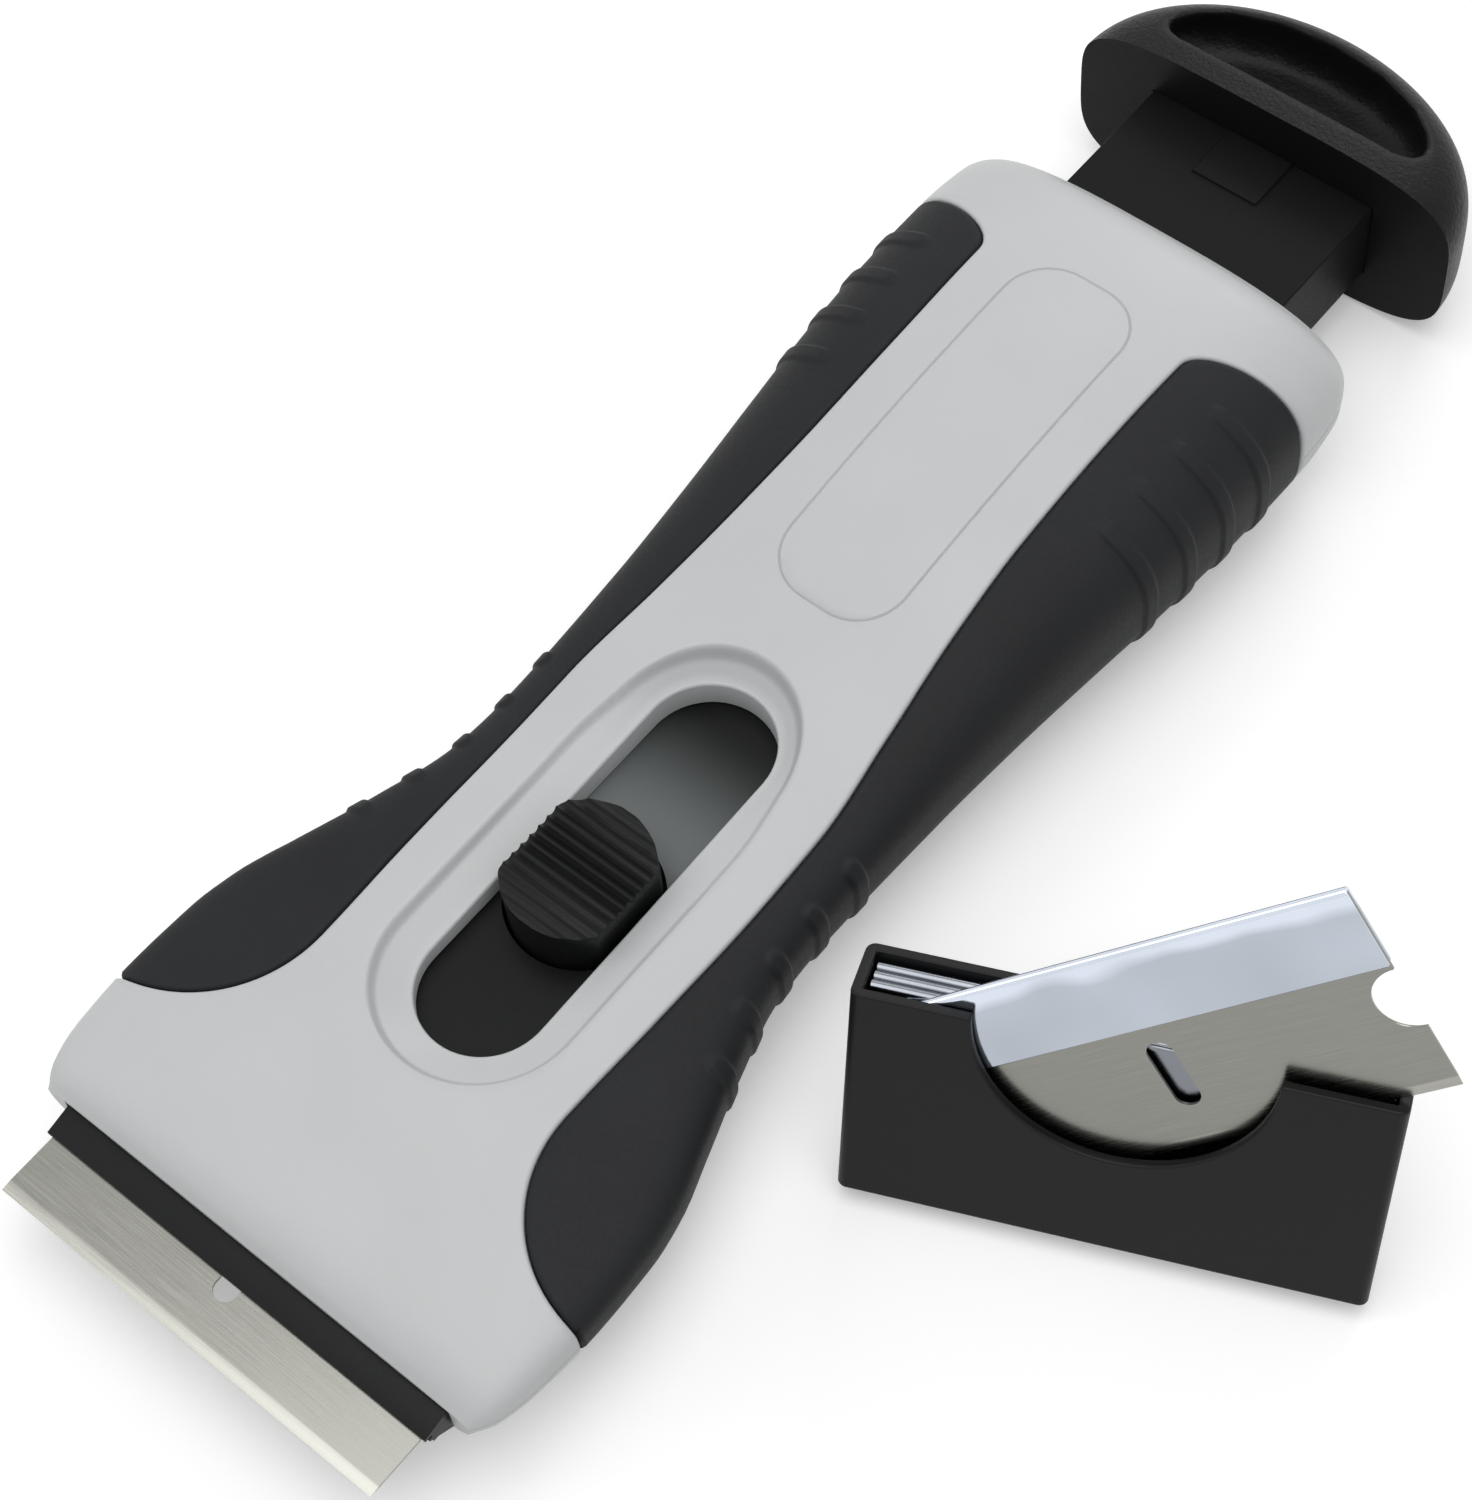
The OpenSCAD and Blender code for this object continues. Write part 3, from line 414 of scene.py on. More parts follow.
def moulded_plastic(name, colour, roughness, grain, relief, blotch=12.0, tint=0.06, ior=1.54, shine=0.5,
                    painted_sheen=None):
    """Moulded plastic: the mould's surface leaves a fine even grain that blurs the gloss, and the flow of
    the melt leaves soft blotches some millimetres wide. Grain, relief and blotch are millimetres. A sheen
    can be painted on: a painted reflection, where the black is painted paler towards grey along y. It gives
    where it starts, where it is palest, where it ends, and how much paler the plastic is there."""
    made, tree, where = started(name)
    flow = add(tree, "ShaderNodeTexNoise", Vector=where, Scale=1 / (blotch * MM), Detail=3.0)
    tone = add(tree, "ShaderNodeMapRange", Value=flow.outputs["Fac"], From_Min=0.3, From_Max=0.7,
               To_Min=1 - tint, To_Max=1 + tint).outputs["Result"]
    # Painted reflection: a band along y where the black is painted paler, in place of a soft reflection
    if painted_sheen:
        start, palest, end = ((y - REST_AT) * MM for y in painted_sheen[:3])
        along = add(tree, "ShaderNodeSeparateXYZ", Vector=where).outputs["Y"]
        fore = add(tree, "ShaderNodeMapRange", Value=along, From_Min=start, From_Max=palest, To_Min=0.0,
                   To_Max=1.0)
        rear = add(tree, "ShaderNodeMapRange", {"interpolation_type": "SMOOTHSTEP"}, Value=along,
                   From_Min=palest, From_Max=end, To_Min=painted_sheen[3], To_Max=0.0)
        painted_sheen_share = add(tree, "ShaderNodeMath", {"operation": "MULTIPLY"}, i0=fore.outputs["Result"],
                   i1=rear.outputs["Result"])
        tone = add(tree, "ShaderNodeMath", {"operation": "ADD"}, i0=tone,
                   i1=painted_sheen_share.outputs["Value"]).outputs["Value"]
    shade = add(tree, "ShaderNodeVectorMath", {"operation": "SCALE"}, i0=colour, Scale=tone)
    spark = add(tree, "ShaderNodeTexNoise", Vector=where, Scale=1 / (grain * MM), Detail=2.0, Roughness=0.6)
    gloss = add(tree, "ShaderNodeMapRange", Value=spark.outputs["Fac"], From_Min=0.25, From_Max=0.75,
                To_Min=roughness - 0.06, To_Max=roughness + 0.06)
    bump = add(tree, "ShaderNodeBump", Strength=0.6, Distance=relief * MM, Height=spark.outputs["Fac"])
    finished(tree, add(tree, "ShaderNodeBsdfPrincipled", Base_Color=shade.outputs["Vector"], IOR=ior,
                       Specular_IOR_Level=shine, Roughness=gloss.outputs["Result"],
                       Normal=bump.outputs["Normal"]))
    return made


def ground_steel(name, colour, roughness, line, edge, stretch=60.0):
    """Ground strip steel: the wheel leaves fine lines along the blade, drawn here at the line spacing
    in millimetres that still shows, so the sheen runs across them. The honed edge, a strip of the given
    width along y = 0, is paler than the ground face and blends into it."""
    blend = 0.08
    made, tree, where = started(name)
    drawn = add(tree, "ShaderNodeMapping", Vector=where, Scale=(1 / stretch, 1, 1))
    lines = add(tree, "ShaderNodeTexNoise", Vector=drawn.outputs["Vector"], Scale=1 / (line * MM), Detail=4.0,
                Roughness=0.7)
    tone = add(tree, "ShaderNodeMapRange", Value=lines.outputs["Fac"], From_Min=0.25, From_Max=0.75,
               To_Min=0.86, To_Max=1.1)
    across = add(tree, "ShaderNodeSeparateXYZ", Vector=where)
    honed = add(tree, "ShaderNodeMapRange", Value=across.outputs["Y"], From_Min=(edge - blend) * MM,
                From_Max=(edge + blend) * MM, To_Min=1.4, To_Max=1.0)
    tone = add(tree, "ShaderNodeMath", {"operation": "MULTIPLY"}, i0=tone.outputs["Result"],
               i1=honed.outputs["Result"])
    shade = add(tree, "ShaderNodeVectorMath", {"operation": "SCALE"}, i0=colour, Scale=tone.outputs["Value"])
    gloss = add(tree, "ShaderNodeMapRange", Value=lines.outputs["Fac"], From_Min=0.25, From_Max=0.75,
                To_Min=roughness - 0.07, To_Max=roughness + 0.07)
    bump = add(tree, "ShaderNodeBump", Strength=0.35, Distance=0.005 * MM, Height=lines.outputs["Fac"])
    finished(tree, add(tree, "ShaderNodeBsdfPrincipled", Base_Color=shade.outputs["Vector"], Metallic=1.0,
                       Roughness=gloss.outputs["Result"], Normal=bump.outputs["Normal"]))
    return made


def rolled_steel(name, colour, roughness, wave, painted_highlight_fold=None):
    """Bright rolled steel: nearly a mirror, with long soft waves left by the press. Beside a fold, at a
    distance along y, a wavy paler strip is painted on the face: a painted highlight for the light the fold
    catches."""
    made, tree, where = started(name)
    swell = add(tree, "ShaderNodeTexNoise", Vector=where, Scale=1 / (wave * MM), Detail=1.0)
    tone = add(tree, "ShaderNodeMapRange", Value=swell.outputs["Fac"], From_Min=0.3, From_Max=0.7,
               To_Min=0.92, To_Max=1.06).outputs["Result"]
    # Painted highlight: a wavy band beside the fold, painted up to 1.45 times paler
    if painted_highlight_fold is not None:
        swing, low, high = 5.0, 0.6, 1.5
        across = add(tree, "ShaderNodeSeparateXYZ", Vector=where)
        ripple = add(tree, "ShaderNodeMath", {"operation": "MULTIPLY_ADD"}, i0=swell.outputs["Fac"],
                     i1=swing * MM, i2=across.outputs["Y"])
        painted_highlight = add(tree, "ShaderNodeMapRange", Value=ripple.outputs["Value"], From_Min=(painted_highlight_fold + low) * MM,
                    From_Max=(painted_highlight_fold + high) * MM, To_Min=1.0, To_Max=1.45)
        tone = add(tree, "ShaderNodeMath", {"operation": "MULTIPLY"}, i0=tone,
                   i1=painted_highlight.outputs["Result"]).outputs["Value"]
    shade = add(tree, "ShaderNodeVectorMath", {"operation": "SCALE"}, i0=colour, Scale=tone)
    bump = add(tree, "ShaderNodeBump", Strength=0.5, Distance=0.25 * MM, Height=swell.outputs["Fac"])
    finished(tree, add(tree, "ShaderNodeBsdfPrincipled", Base_Color=shade.outputs["Vector"], Metallic=1.0,
                       Roughness=roughness, Normal=bump.outputs["Normal"]))
    return made


# Settings that a user would change


class ScraperSizes(bpy.types.PropertyGroup):
    """Sizes of the details that the solids leave plain."""

    edge_round: FloatProperty(
        name="Edge round", description="Rounding of the pale shell along the grips",
        default=0.35 * MM, min=0.1 * MM, max=0.8 * MM, unit="LENGTH")
    grip_round: FloatProperty(
        name="Grip round", description="Rounding of the soft grips along their border",
        default=0.45 * MM, min=0.1 * MM, max=0.9 * MM, unit="LENGTH")
    border_gap: FloatProperty(
        name="Border gap", description="Gap between the pale shell and the grips",
        default=0.06 * MM, min=0.02 * MM, max=0.3 * MM, unit="LENGTH")
    rib_height: FloatProperty(
        name="Rib height", description="Height of the ribs on the grips",
        default=0.26 * MM, min=0.0, max=0.8 * MM, unit="LENGTH")
    rib_width: FloatProperty(
        name="Rib width", description="Width of a rib along the handle",
        default=1.9 * MM, min=1.0 * MM, max=3.0 * MM, unit="LENGTH")
    panel_groove: FloatProperty(
        name="Panel groove", description="Width of the groove round the bare oval panel",
        default=0.28 * MM, min=0.1 * MM, max=0.8 * MM, unit="LENGTH")
    ridges: IntProperty(
        name="Ridges", description="Number of ridges on the thumb button", default=12, min=6, max=16)


class ScraperColours(bpy.types.PropertyGroup):
    """Colours of the materials."""

    shell: FloatVectorProperty(
        name="Shell", description="Pale moulded shells", subtype="COLOR", default=linear("#BFC1C2"))
    grip: FloatVectorProperty(
        name="Grip", description="Soft overmoulded grips", subtype="COLOR", default=linear("#1A1B1D"))
    slide: FloatVectorProperty(
        name="Slide", description="Carriage and clamp bar", subtype="COLOR", default=linear("#0D0E0E"))
    button: FloatVectorProperty(
        name="Button", description="Thumb button", subtype="COLOR", default=linear("#0F1010"))
    drawer: FloatVectorProperty(
        name="Drawer", description="Drawer and its pull", subtype="COLOR", default=linear("#111112"))
    magazine: FloatVectorProperty(
        name="Magazine", description="Case of the spare blades", subtype="COLOR", default=linear("#0F0F10"))
    blade: FloatVectorProperty(
        name="Blade", description="Ground blade steel", subtype="COLOR", default=linear("#8C8C86"))
    spine: FloatVectorProperty(
        name="Spine", description="Folded spines of the blades", subtype="COLOR", default=linear("#B5BCC6"))


# Shells and grips

# Half width of the middle strip of the skin, its columns, and the rows before and behind the grips
PATCH_X = 9.6
COLUMNS = np.linspace(PATCH_X, -PATCH_X, 17)
FRONT_ROWS = (0, 0.1, 0.25, 0.46, 0.75, 1.15, 1.7, 2.4, 3.2, 4.2, 5.2, 6.2, 7.2, 8.1, 9)
REAR_ROWS = (108.4, 109.2, 110, 110.8, 111.5, 112.1, 112.6, 113.1, 113.5, 113.9, 114.2, 114.5, 114.7, 114.87,
             115)
# Where the skin round the slot and round the panel starts and ends, and the distances of the slot's rings
# from the middle line of the slot
SLOT_PATCH, PANEL_PATCH = (16.6, 63.9), (65.0, 107.6)
SLOT_RINGS = (9.9, 9.2, 9.05, 8.9, 8.75, 8.6, 8.45, 8.3, 8.15, 8.0, 7.85, 7.7, 7.55, 7.4, 7.25, 7.1, 6.6, 6.0,
              5.94, 5.87, 5.8, 5.74, 5.705)


def band_rows(upper, edge):
    """Rows of the pale band from its right edge to its middle line: each is the y of the row and the
    angle of its edge, with the border's own points where the band runs along a grip."""
    y = border_stations(fine=0.55, plain=1.1)
    point, normal, inward = border_frame(y, upper)
    start = point + edge * inward
    angle = angle_at(start, upper)
    angle[0] = angle[-1] = 0.0
    rows = [(v, 0.0) for v in FRONT_ROWS] + list(zip(start[:, 1], angle)) + [(v, 0.0) for v in REAR_ROWS]
    return rows, y, point, normal, inward


def outer_part(row, upper, marks, crease=0.1):
    """Points of a row from its edge to the line at PATCH_X, drawn in a little at the parting plane."""
    y, angle = row
    power = depth_and_power(y, upper)[1]
    end = math.acos((PATCH_X / half_width(y)) ** (power / 2))
    path = section(y, angle + (end - angle) * np.linspace(0, 1, 240) ** power, upper)
    points = resampled(path, marks)
    points[-1] = (PATCH_X, y, height(PATCH_X, y, upper))
    if angle == 0:
        points[0, 0] -= crease
    return points


def mirrored(points):
    return np.asarray(points) * (-1, 1, 1)


def ring_patch(net, rows, first, last, centre, core, rings, profile, closing):
    """Sheet between a rectangle of the skin, bounded by two rows and the lines at PATCH_X, and a round
    outline round a core of given half width and half length. The rings are distances from the core,
    and the profile gives the height at a point, its distance and the skin's height there."""
    side = [rows[i][0] for i in range(first, last + 1)]
    right = [x for x in COLUMNS if x >= 0]
    loop = [(x, side[0]) for x in right[::-1]] + [(PATCH_X, y) for y in side[1:-1]]
    loop += [(x, side[-1]) for x in right]
    loop += [(-x, y) for x, y in loop[-2:0:-1]]
    loop = np.array(loop)
    inner = np.stack([loop[:, 0].clip(-core[0], core[0]),
                      loop[:, 1].clip(centre - core[1], centre + core[1])], -1)
    reach = np.linalg.norm(loop - inner, axis=1, keepdims=True)
    aim = (loop - inner) / reach
    sheets = []
    for far in (reach, *[np.minimum(ring, reach) for ring in rings]):
        at = inner + aim * far
        skin = height(at[:, 0], at[:, 1])
        sheets.append(np.column_stack([at, profile(at, far[:, 0], skin)]))
    net.sheet(sheets, closed=True)
    closing(net, sheets[-1])


def zip_up(net, ring):
    """Fills a ring that mirrors across the middle line, from its first point to the one opposite."""
    half = len(ring) // 2
    for j in range(half):
        a, b, c, d = ring[j], ring[j + 1], ring[-(j + 1) % len(ring)], ring[-j % len(ring)]
        if j == 0:
            net.face([a, b, c])
        elif j == half - 1:
            net.face([a, b, d])
        else:
            net.face([a, b, c, d])


def slot_profile(at, far, skin):
    """The sunken rim round the thumb slot: a soft step at its outer edge, a slope and a rounded lip."""
    rim = RIM_FRONT_H + (at[:, 1] - SLOT_AT) * (RIM_REAR_H - RIM_FRONT_H) / SLOT_L
    foot = RIM_REACH - RIM_NARROWER * eased((at[:, 1] - RIM_NARROW_AT) / RIM_NARROW_L)
    inner = SLOT_W / 2 + RIM_EDGE
    slope = np.clip((foot - RIM_EDGE - far) / (foot - RIM_EDGE - inner), 0, 1)
    step = eased((foot - far) / RIM_STEP_W)
    sunk = skin + (rim - skin) * (RIM_STEP_SHARE * step + (1 - RIM_STEP_SHARE) * slope)
    lip = np.clip((inner - far) / RIM_EDGE, 0, 1)
    return sunk - RIM_EDGE * (1 - np.sqrt(1 - lip**2))


def slot_patch(net, rows, ends):
    """The skin round the thumb slot, with its sunken rim and the wall down into the channel."""
    def drop_wall(net, ring):
        # Down past the roof of the channel, which is cut later
        floor = ring.copy()
        floor[:, 2] = CHANNEL_TOP - 0.3
        net.sheet([ring, floor], closed=True)
        net.face(floor)

    core = (0, (SLOT_L - SLOT_W) / 2)
    ring_patch(net, rows, *ends, SLOT_AT + SLOT_L / 2, core, SLOT_RINGS, slot_profile, drop_wall)


def panel_patch(net, rows, ends, groove):
    """The skin of the bare oval panel and the fine groove round it."""
    half = groove / 2

    def panel_profile(at, far, skin):
        return skin - PANEL_GROOVE_D * np.clip(1 - np.abs(far - PANEL_ROUND) / half, 0, 1) ** 1.2

    across = [PANEL_ROUND + half * k for k in (1, 0.6, 0.3, 0, -0.3, -0.6, -1)]
    rings = [PANEL_ROUND + 1.2, *across, 3.4, 2.2, 0.9]
    core = (PANEL_W / 2 - PANEL_ROUND, PANEL_L / 2 - PANEL_ROUND)
    ring_patch(net, rows, *ends, PANEL_AT, core, rings, panel_profile, zip_up)


def shell_mesh(upper, edge, groove):
    """One shell as a closed mesh, before the rooms inside it are cut."""
    rows, y, point, normal, inward = band_rows(upper, edge)
    marks = np.concatenate(([0, 0.008], np.linspace(0, 1, 19)[1:] ** 1.35))
    outer = np.array([outer_part(row, upper, marks) for row in rows])
    middle = np.array([[(x, row[0], height(x, row[0], upper)) for x in COLUMNS] for row in rows])
    if not upper:
        outer[..., 2], middle[..., 2] = rested(outer[..., 2]), rested(middle[..., 2])
    net = Net()
    net.sheet(outer)
    net.sheet(mirrored(outer))
    places = np.array([row[0] for row in rows])
    patches = []
    if upper:
        patches = [[int(np.argmin(np.abs(places - v))) for v in ends] for ends in (SLOT_PATCH, PANEL_PATCH)]
    for i in range(len(rows) - 1):
        if not any(a <= i < b for a, b in patches):
            net.sheet(middle[i:i + 2])
    if upper:
        slot_patch(net, rows, patches[0])
        panel_patch(net, rows, patches[1], groove)
    close_shell(net, upper, y, point, normal, inward, edge, outer, middle)
    return net


def rested(z):
    """Heights eased onto the table, so the belly ends in a flat."""
    ease = 0.3
    return np.where(z > ease, z, (np.maximum(z, -ease) + ease) ** 2 / (4 * ease))


def close_shell(net, upper, y, point, normal, inward, edge, outer, middle):
    """Adds the rounded step at the grips, the seat under them, the parting face and the two ends. The rows of
    the seat stay a little apart where they run together at the tips of a grip."""
    first = len(FRONT_ROWS)
    turn = np.linspace(0, math.pi / 2, 6)
    hub = point + edge * (inward - normal)
    step = [hub + edge * (np.cos(t) * normal - np.sin(t) * inward) for t in turn]
    step[0] = outer[first:first + len(y), 0]
    apart = np.arange(len(y)) * 0.01
    at = np.minimum(np.maximum(y, y[0] + apart), y[-1] - apart[::-1])
    deep, sunk = border_angle(y, upper), GRIP_T if upper else GRIP_T_LOW
    step.append(section(at, deep, upper, sunk))
    for k in (0, -1):
        for ring in step[1:]:
            ring[k, 2] = PARTING_H
    step = np.array(step)
    if not upper:
        step[1:-1, :, 2] = rested(step[1:-1, :, 2])
        step[-1, :, 2] = np.maximum(step[-1, :, 2], SEAT_FLOOR)
    seat = [section(at, deep * s, upper, sunk) for s in (0.75, 0.5, 0.25, 0.0)]
    seat = np.array([step[-1], *seat])
    if not upper:
        seat[..., 2] = np.maximum(seat[..., 2], SEAT_FLOOR)
    seat[:, 0], seat[:, -1] = step[-1][0], step[-1][-1]
    seat[-1, :, 2] = PARTING_H
    for flip in (np.asarray, mirrored):
        net.sheet(flip(step))
        net.sheet(flip(seat))
    chain = [*outer[:first, 0], *step[:, 0], *seat[-1][1:-1], *step[::-1, -1], *outer[first + len(y):, 0]]
    chain = np.array(chain)
    chain[:, 2] = PARTING_H
    net.face([*chain, *mirrored(chain)[::-1]])
    for end in (0, -1):
        net.face([*outer[end], *middle[end][1:-1], *mirrored(outer[end])[::-1]])


def shell_rooms(upper):
    """Cutters for the mouth, the slide's channel, the drawer's bay and the groove of the latch ears."""
    turn = np.linspace(0, math.pi / 2, 9)
    past, into = 1, 0.2
    hub = (POCKET_W / 2 - POCKET_CORNER, POCKET_END - POCKET_CORNER)
    corner = [(hub[0] + POCKET_CORNER * math.cos(t), hub[1] + POCKET_CORNER * math.sin(t)) for t in turn]
    pocket = [(-POCKET_W / 2, -past), (POCKET_W / 2, -past), *corner, *[(-x, y) for x, y in corner[::-1]]]
    rooms = [prism(pocket, MOUTH_FLOOR, CHANNEL_TOP),
             prism(oblong(CHANNEL_W, CHANNEL_FRONT, CHANNEL_END), CHANNEL_FLOOR, CHANNEL_TOP),
             prism(oblong(BAY_W, BAY_FRONT, BODY_L + past), BAY_FLOOR, BAY_TOP)]
    if upper:
        rooms.append(prism(oblong(CATCH_W, CATCH_FRONT, BODY_L + past), BAY_FLOOR, CATCH_TOP))
        for side in (1, -1):
            groove = [(side * (GROOVE_X + x), GROOVE_FRONT + y) for x, y in
                      ((0, 0), (GROOVE_W, 0), (GROOVE_W, GROOVE_L), (0, GROOVE_L))]
            rooms.append(prism(groove, CHANNEL_TOP - into, GROOVE_TOP))
    return rooms


# Middle of each rib, back from the mouth, and how far from the border it starts
RIBS = ((32.8, 4.3), (37.65, 2.8), (42.5, 2.1), (47.35, 2.0), (52.2, 2.1),
        (87.1, 3.3), (91.95, 3.4), (96.8, 3.7), (101.65, 3.9))
RIB_MIDDLES = np.array(RIBS)[:, 0]


def rib_lift(points, down, width, high):
    """Height of the ribs: round-ended bars that start part way down the flank and run under it."""
    lift = np.zeros(points.shape[:2])
    half = width / 2
    for middle, start in RIBS:
        short = np.maximum(start + half - down, down - (down[:, -1:] - start - half)).clip(0)
        far = np.hypot(points[..., 1] - middle, short) / half
        lift = np.maximum(lift, high * eased(2.4 * (1 - far)))
    return lift


def grip_mesh(side, edge, gap, rib_w, rib_h):
    """One soft grip: the skin of the flank with its ribs, rounded edges and the face on the shell. Its rows
    are close together at a rib, and stop just short of the grip's tips."""
    reach, fine, clear, blunt = 1.3, 0.13, 1.6, 0.003
    plain = border_stations(fine=0.5, plain=1.2)
    plain = plain[(plain > plain[0] + blunt) & (plain < plain[-1] - blunt)]
    ribs = np.concatenate([np.arange(m - reach, m + reach + 0.01, fine) for m in RIB_MIDDLES])
    away = np.min(np.abs(plain[:, None] - RIB_MIDDLES[None]), axis=1) > clear
    y = np.unique(np.concatenate((plain[away], ribs)).round(5))
    tips = [border_frame(y, upper) for upper in (True, False)]
    turn = np.linspace(math.pi / 2, 0, 6)
    steps = []
    for (point, normal, inward), thick in zip(tips, (GRIP_T, GRIP_T_LOW)):
        brim = point - gap * inward
        hub = brim - edge * (inward + normal)
        steps.append([brim - (thick - gap) * normal]
                     + [hub + edge * (np.cos(t) * normal + np.sin(t) * inward) for t in turn])
    u = np.linspace(0, 1, 160)
    rows = []
    for i, v in enumerate(y):
        ends = [steps[0][-1][i], steps[1][-1][i]]
        top, low = (angle_at(e, upper) for e, upper in zip(ends, (True, False)))
        bend = [depth_and_power(v, upper)[1] for upper in (True, False)]
        waist = (ends[0][1] + ends[1][1]) / 2
        over = section(waist + (ends[0][1] - waist) * u[::-1], top * u[::-1] ** bend[0], True)
        under = section(waist + (ends[1][1] - waist) * u, low * u ** bend[1], False)
        row = resampled(np.concatenate((over, under[1:])), np.linspace(0, 1, 65))
        row[0], row[-1] = ends
        rows.append(row)
    rows = np.array(rows)
    upper_half = rows[..., 2] >= PARTING_H
    normals = np.where(upper_half[..., None], outward(rows, True), outward(rows, False))
    down = np.array([arc_length(row) for row in rows])
    rows = rows + normals * rib_lift(rows, down, rib_w, rib_h)[..., None]
    rows[..., 2] = rested(rows[..., 2])
    inside = []
    for i, v in enumerate(y):
        top, low = border_angle(v, True), border_angle(v, False)
        inside.append(np.concatenate((section(v, top * np.linspace(1, 0, 7), True, GRIP_T - gap),
                                      section(v, low * np.linspace(0, 1, 7), False, GRIP_T_LOW - gap))))
    inside = np.array(inside)
    inside[:, 0], inside[:, -1] = steps[0][0], steps[1][0]
    inside[..., 2] = np.maximum(inside[..., 2], GRIP_FLOOR)
    for step in steps:
        for ring in step[:-1]:
            ring[:, 2] = np.maximum(ring[:, 2], GRIP_FLOOR)
    steps[0][0], steps[1][0] = inside[:, 0], inside[:, -1]
    steps[0][-1], steps[1][-1] = rows[:, 0], rows[:, -1]
    flip = np.asarray if side > 0 else mirrored
    net = Net()
    net.sheet(flip(rows))
    net.sheet(flip(inside))
    for step in steps:
        net.sheet(flip(np.array(step)))
    for k in (0, -1):
        net.face(flip(np.array([*rows[k], *[s[k] for s in steps[1][::-1]][1:], *inside[k][::-1][1:],
                                *[s[k] for s in steps[0]][1:-1]])))
    return net


class SCRAPER_OT_shells(bpy.types.Operator):
    """Draws the two pale shells with the sunken rim, the bare oval panel and the rooms inside"""

    bl_idname = "scraper.shells"
    bl_label = "Shells"

    def execute(self, context):
        sizes, colours = context.scene.scraper_sizes, context.scene.scraper_colours
        # ABS from a spark-eroded mould: a pale, even satin. Its 0.1 mm grain is drawn at 0.3 mm, to show
        finish = moulded_plastic("moulded_abs_pale_grained", tuple(colours.shell), roughness=0.42, grain=0.3,
                                 relief=0.03, tint=0.02)
        for name, upper in (("upper_shell", True), ("lower_shell", False)):
            net = shell_mesh(upper, sizes.edge_round / MM, sizes.panel_groove / MM)
            mesh = cut(net.mesh(name), shell_rooms(upper), 40)
            piece(name + "_moulding", mesh, "handle", "pale_shell", finish, name)
        return {"FINISHED"}


class SCRAPER_OT_grips(bpy.types.Operator):
    """Draws the two soft grips with their ribs"""

    bl_idname = "scraper.grips"
    bl_label = "Grips"

    def execute(self, context):
        sizes, colours = context.scene.scraper_sizes, context.scene.scraper_colours
        # Soft TPE moulded over the shell: a deep matte black with faint clouds and no sharp highlight
        finish = moulded_plastic("overmoulded_tpe_black_matte", tuple(colours.grip), roughness=0.6, grain=0.3,
                                 relief=0.02, blotch=9.0, tint=0.12, ior=1.48, shine=0.22)
        for name, side in (("left_grip", -1), ("right_grip", 1)):
            net = grip_mesh(side, sizes.grip_round / MM, sizes.border_gap / MM, sizes.rib_width / MM,
                            sizes.rib_height / MM)
            piece(name + "_moulding", net.mesh(name), "handle", "soft_grip", finish, name)
        return {"FINISHED"}


# Slide, button and blades

# Depth of the button's scoops from its front to its rear, the shares of a scoop that are drawn, the dish of
# the whole top, and the rounding of its edge
SCOOP_DEPTHS = ((0, 0.2), (0.25, 0.28), (0.5, 0.5), (0.65, 0.44), (0.85, 0.3), (1, 0.2))
SCOOP = (0, 0.05, 0.14, 0.27, 0.42, 0.57, 0.71, 0.83, 0.92, 0.97)
DISH, BUTTON_EDGE = 0.2, 0.12


def button_mesh(ridges):
    """The thumb button: a dished round pad with flat flanks and scoops across its top."""
    net = Net()
    r, half = BUTTON_L / 2, BUTTON_W / 2
    pitch = BUTTON_L / ridges
    rim, brink, skirt = r - 0.02, 0.03, 1.2
    rows = []
    for k in range(ridges):
        deep = float(curve(SCOOP_DEPTHS, (k + 0.5) / ridges))
        for share in SCOOP:
            y = (k + share) * pitch - r
            if abs(y) < rim - 0.05:
                bowl = deep * (1 - (2 * share**1.2 - 1) ** 2)
                rows.append((y, BUTTON_TOP - bowl - DISH * (1 - (y / r) ** 2)))
    # Both ends fall off in two small steps, in place of a sharp brink
    for side in (-1, 1):
        rows += [(side * rim, BUTTON_TOP - 0.2), (side * (rim - brink), BUTTON_TOP - 0.08)]
    rings = []
    for y, top in sorted(set(rows)):
        w = min(half, math.sqrt(max(0, r * r - y * y)))
        ease = min(BUTTON_EDGE, w / 2)
        flank = [(w, BUTTON_FOOT), (w, top - skirt), (w, top - ease), (w - 0.3 * ease, top - 0.3 * ease),
                 (w - ease, top), (0, top)]
        ring = [*flank, *[(-x, z) for x, z in flank[-2::-1]]]
        rings.append([(x, BUTTON_AT + y, z) for x, z in ring])
    net.tube(rings)
    return net


def latch_mesh():
    """The bar across the foot of the button with a latch ear at each end: one strip with rounded edges."""
    foot, outer = BUTTON_FOOT + 0.02, EAR_AT + EAR_T
    half = [(outer, foot), (outer, EAR_TOP), (EAR_AT, EAR_TOP), (EAR_AT, CROSS_TOP)]
    outline = [*half, *[(-x, z) for x, z in half[::-1]]]
    net = Net()
    net.tube([[(x, BUTTON_AT + y, z) for x, z in outline] for y in (-EAR_L / 2, EAR_L / 2)])
    mesh = net.mesh("latch")
    bm = bmesh.new()
    bm.from_mesh(mesh)
    return round_edges(bm, mesh, width=0.15, segments=3, angle=35)


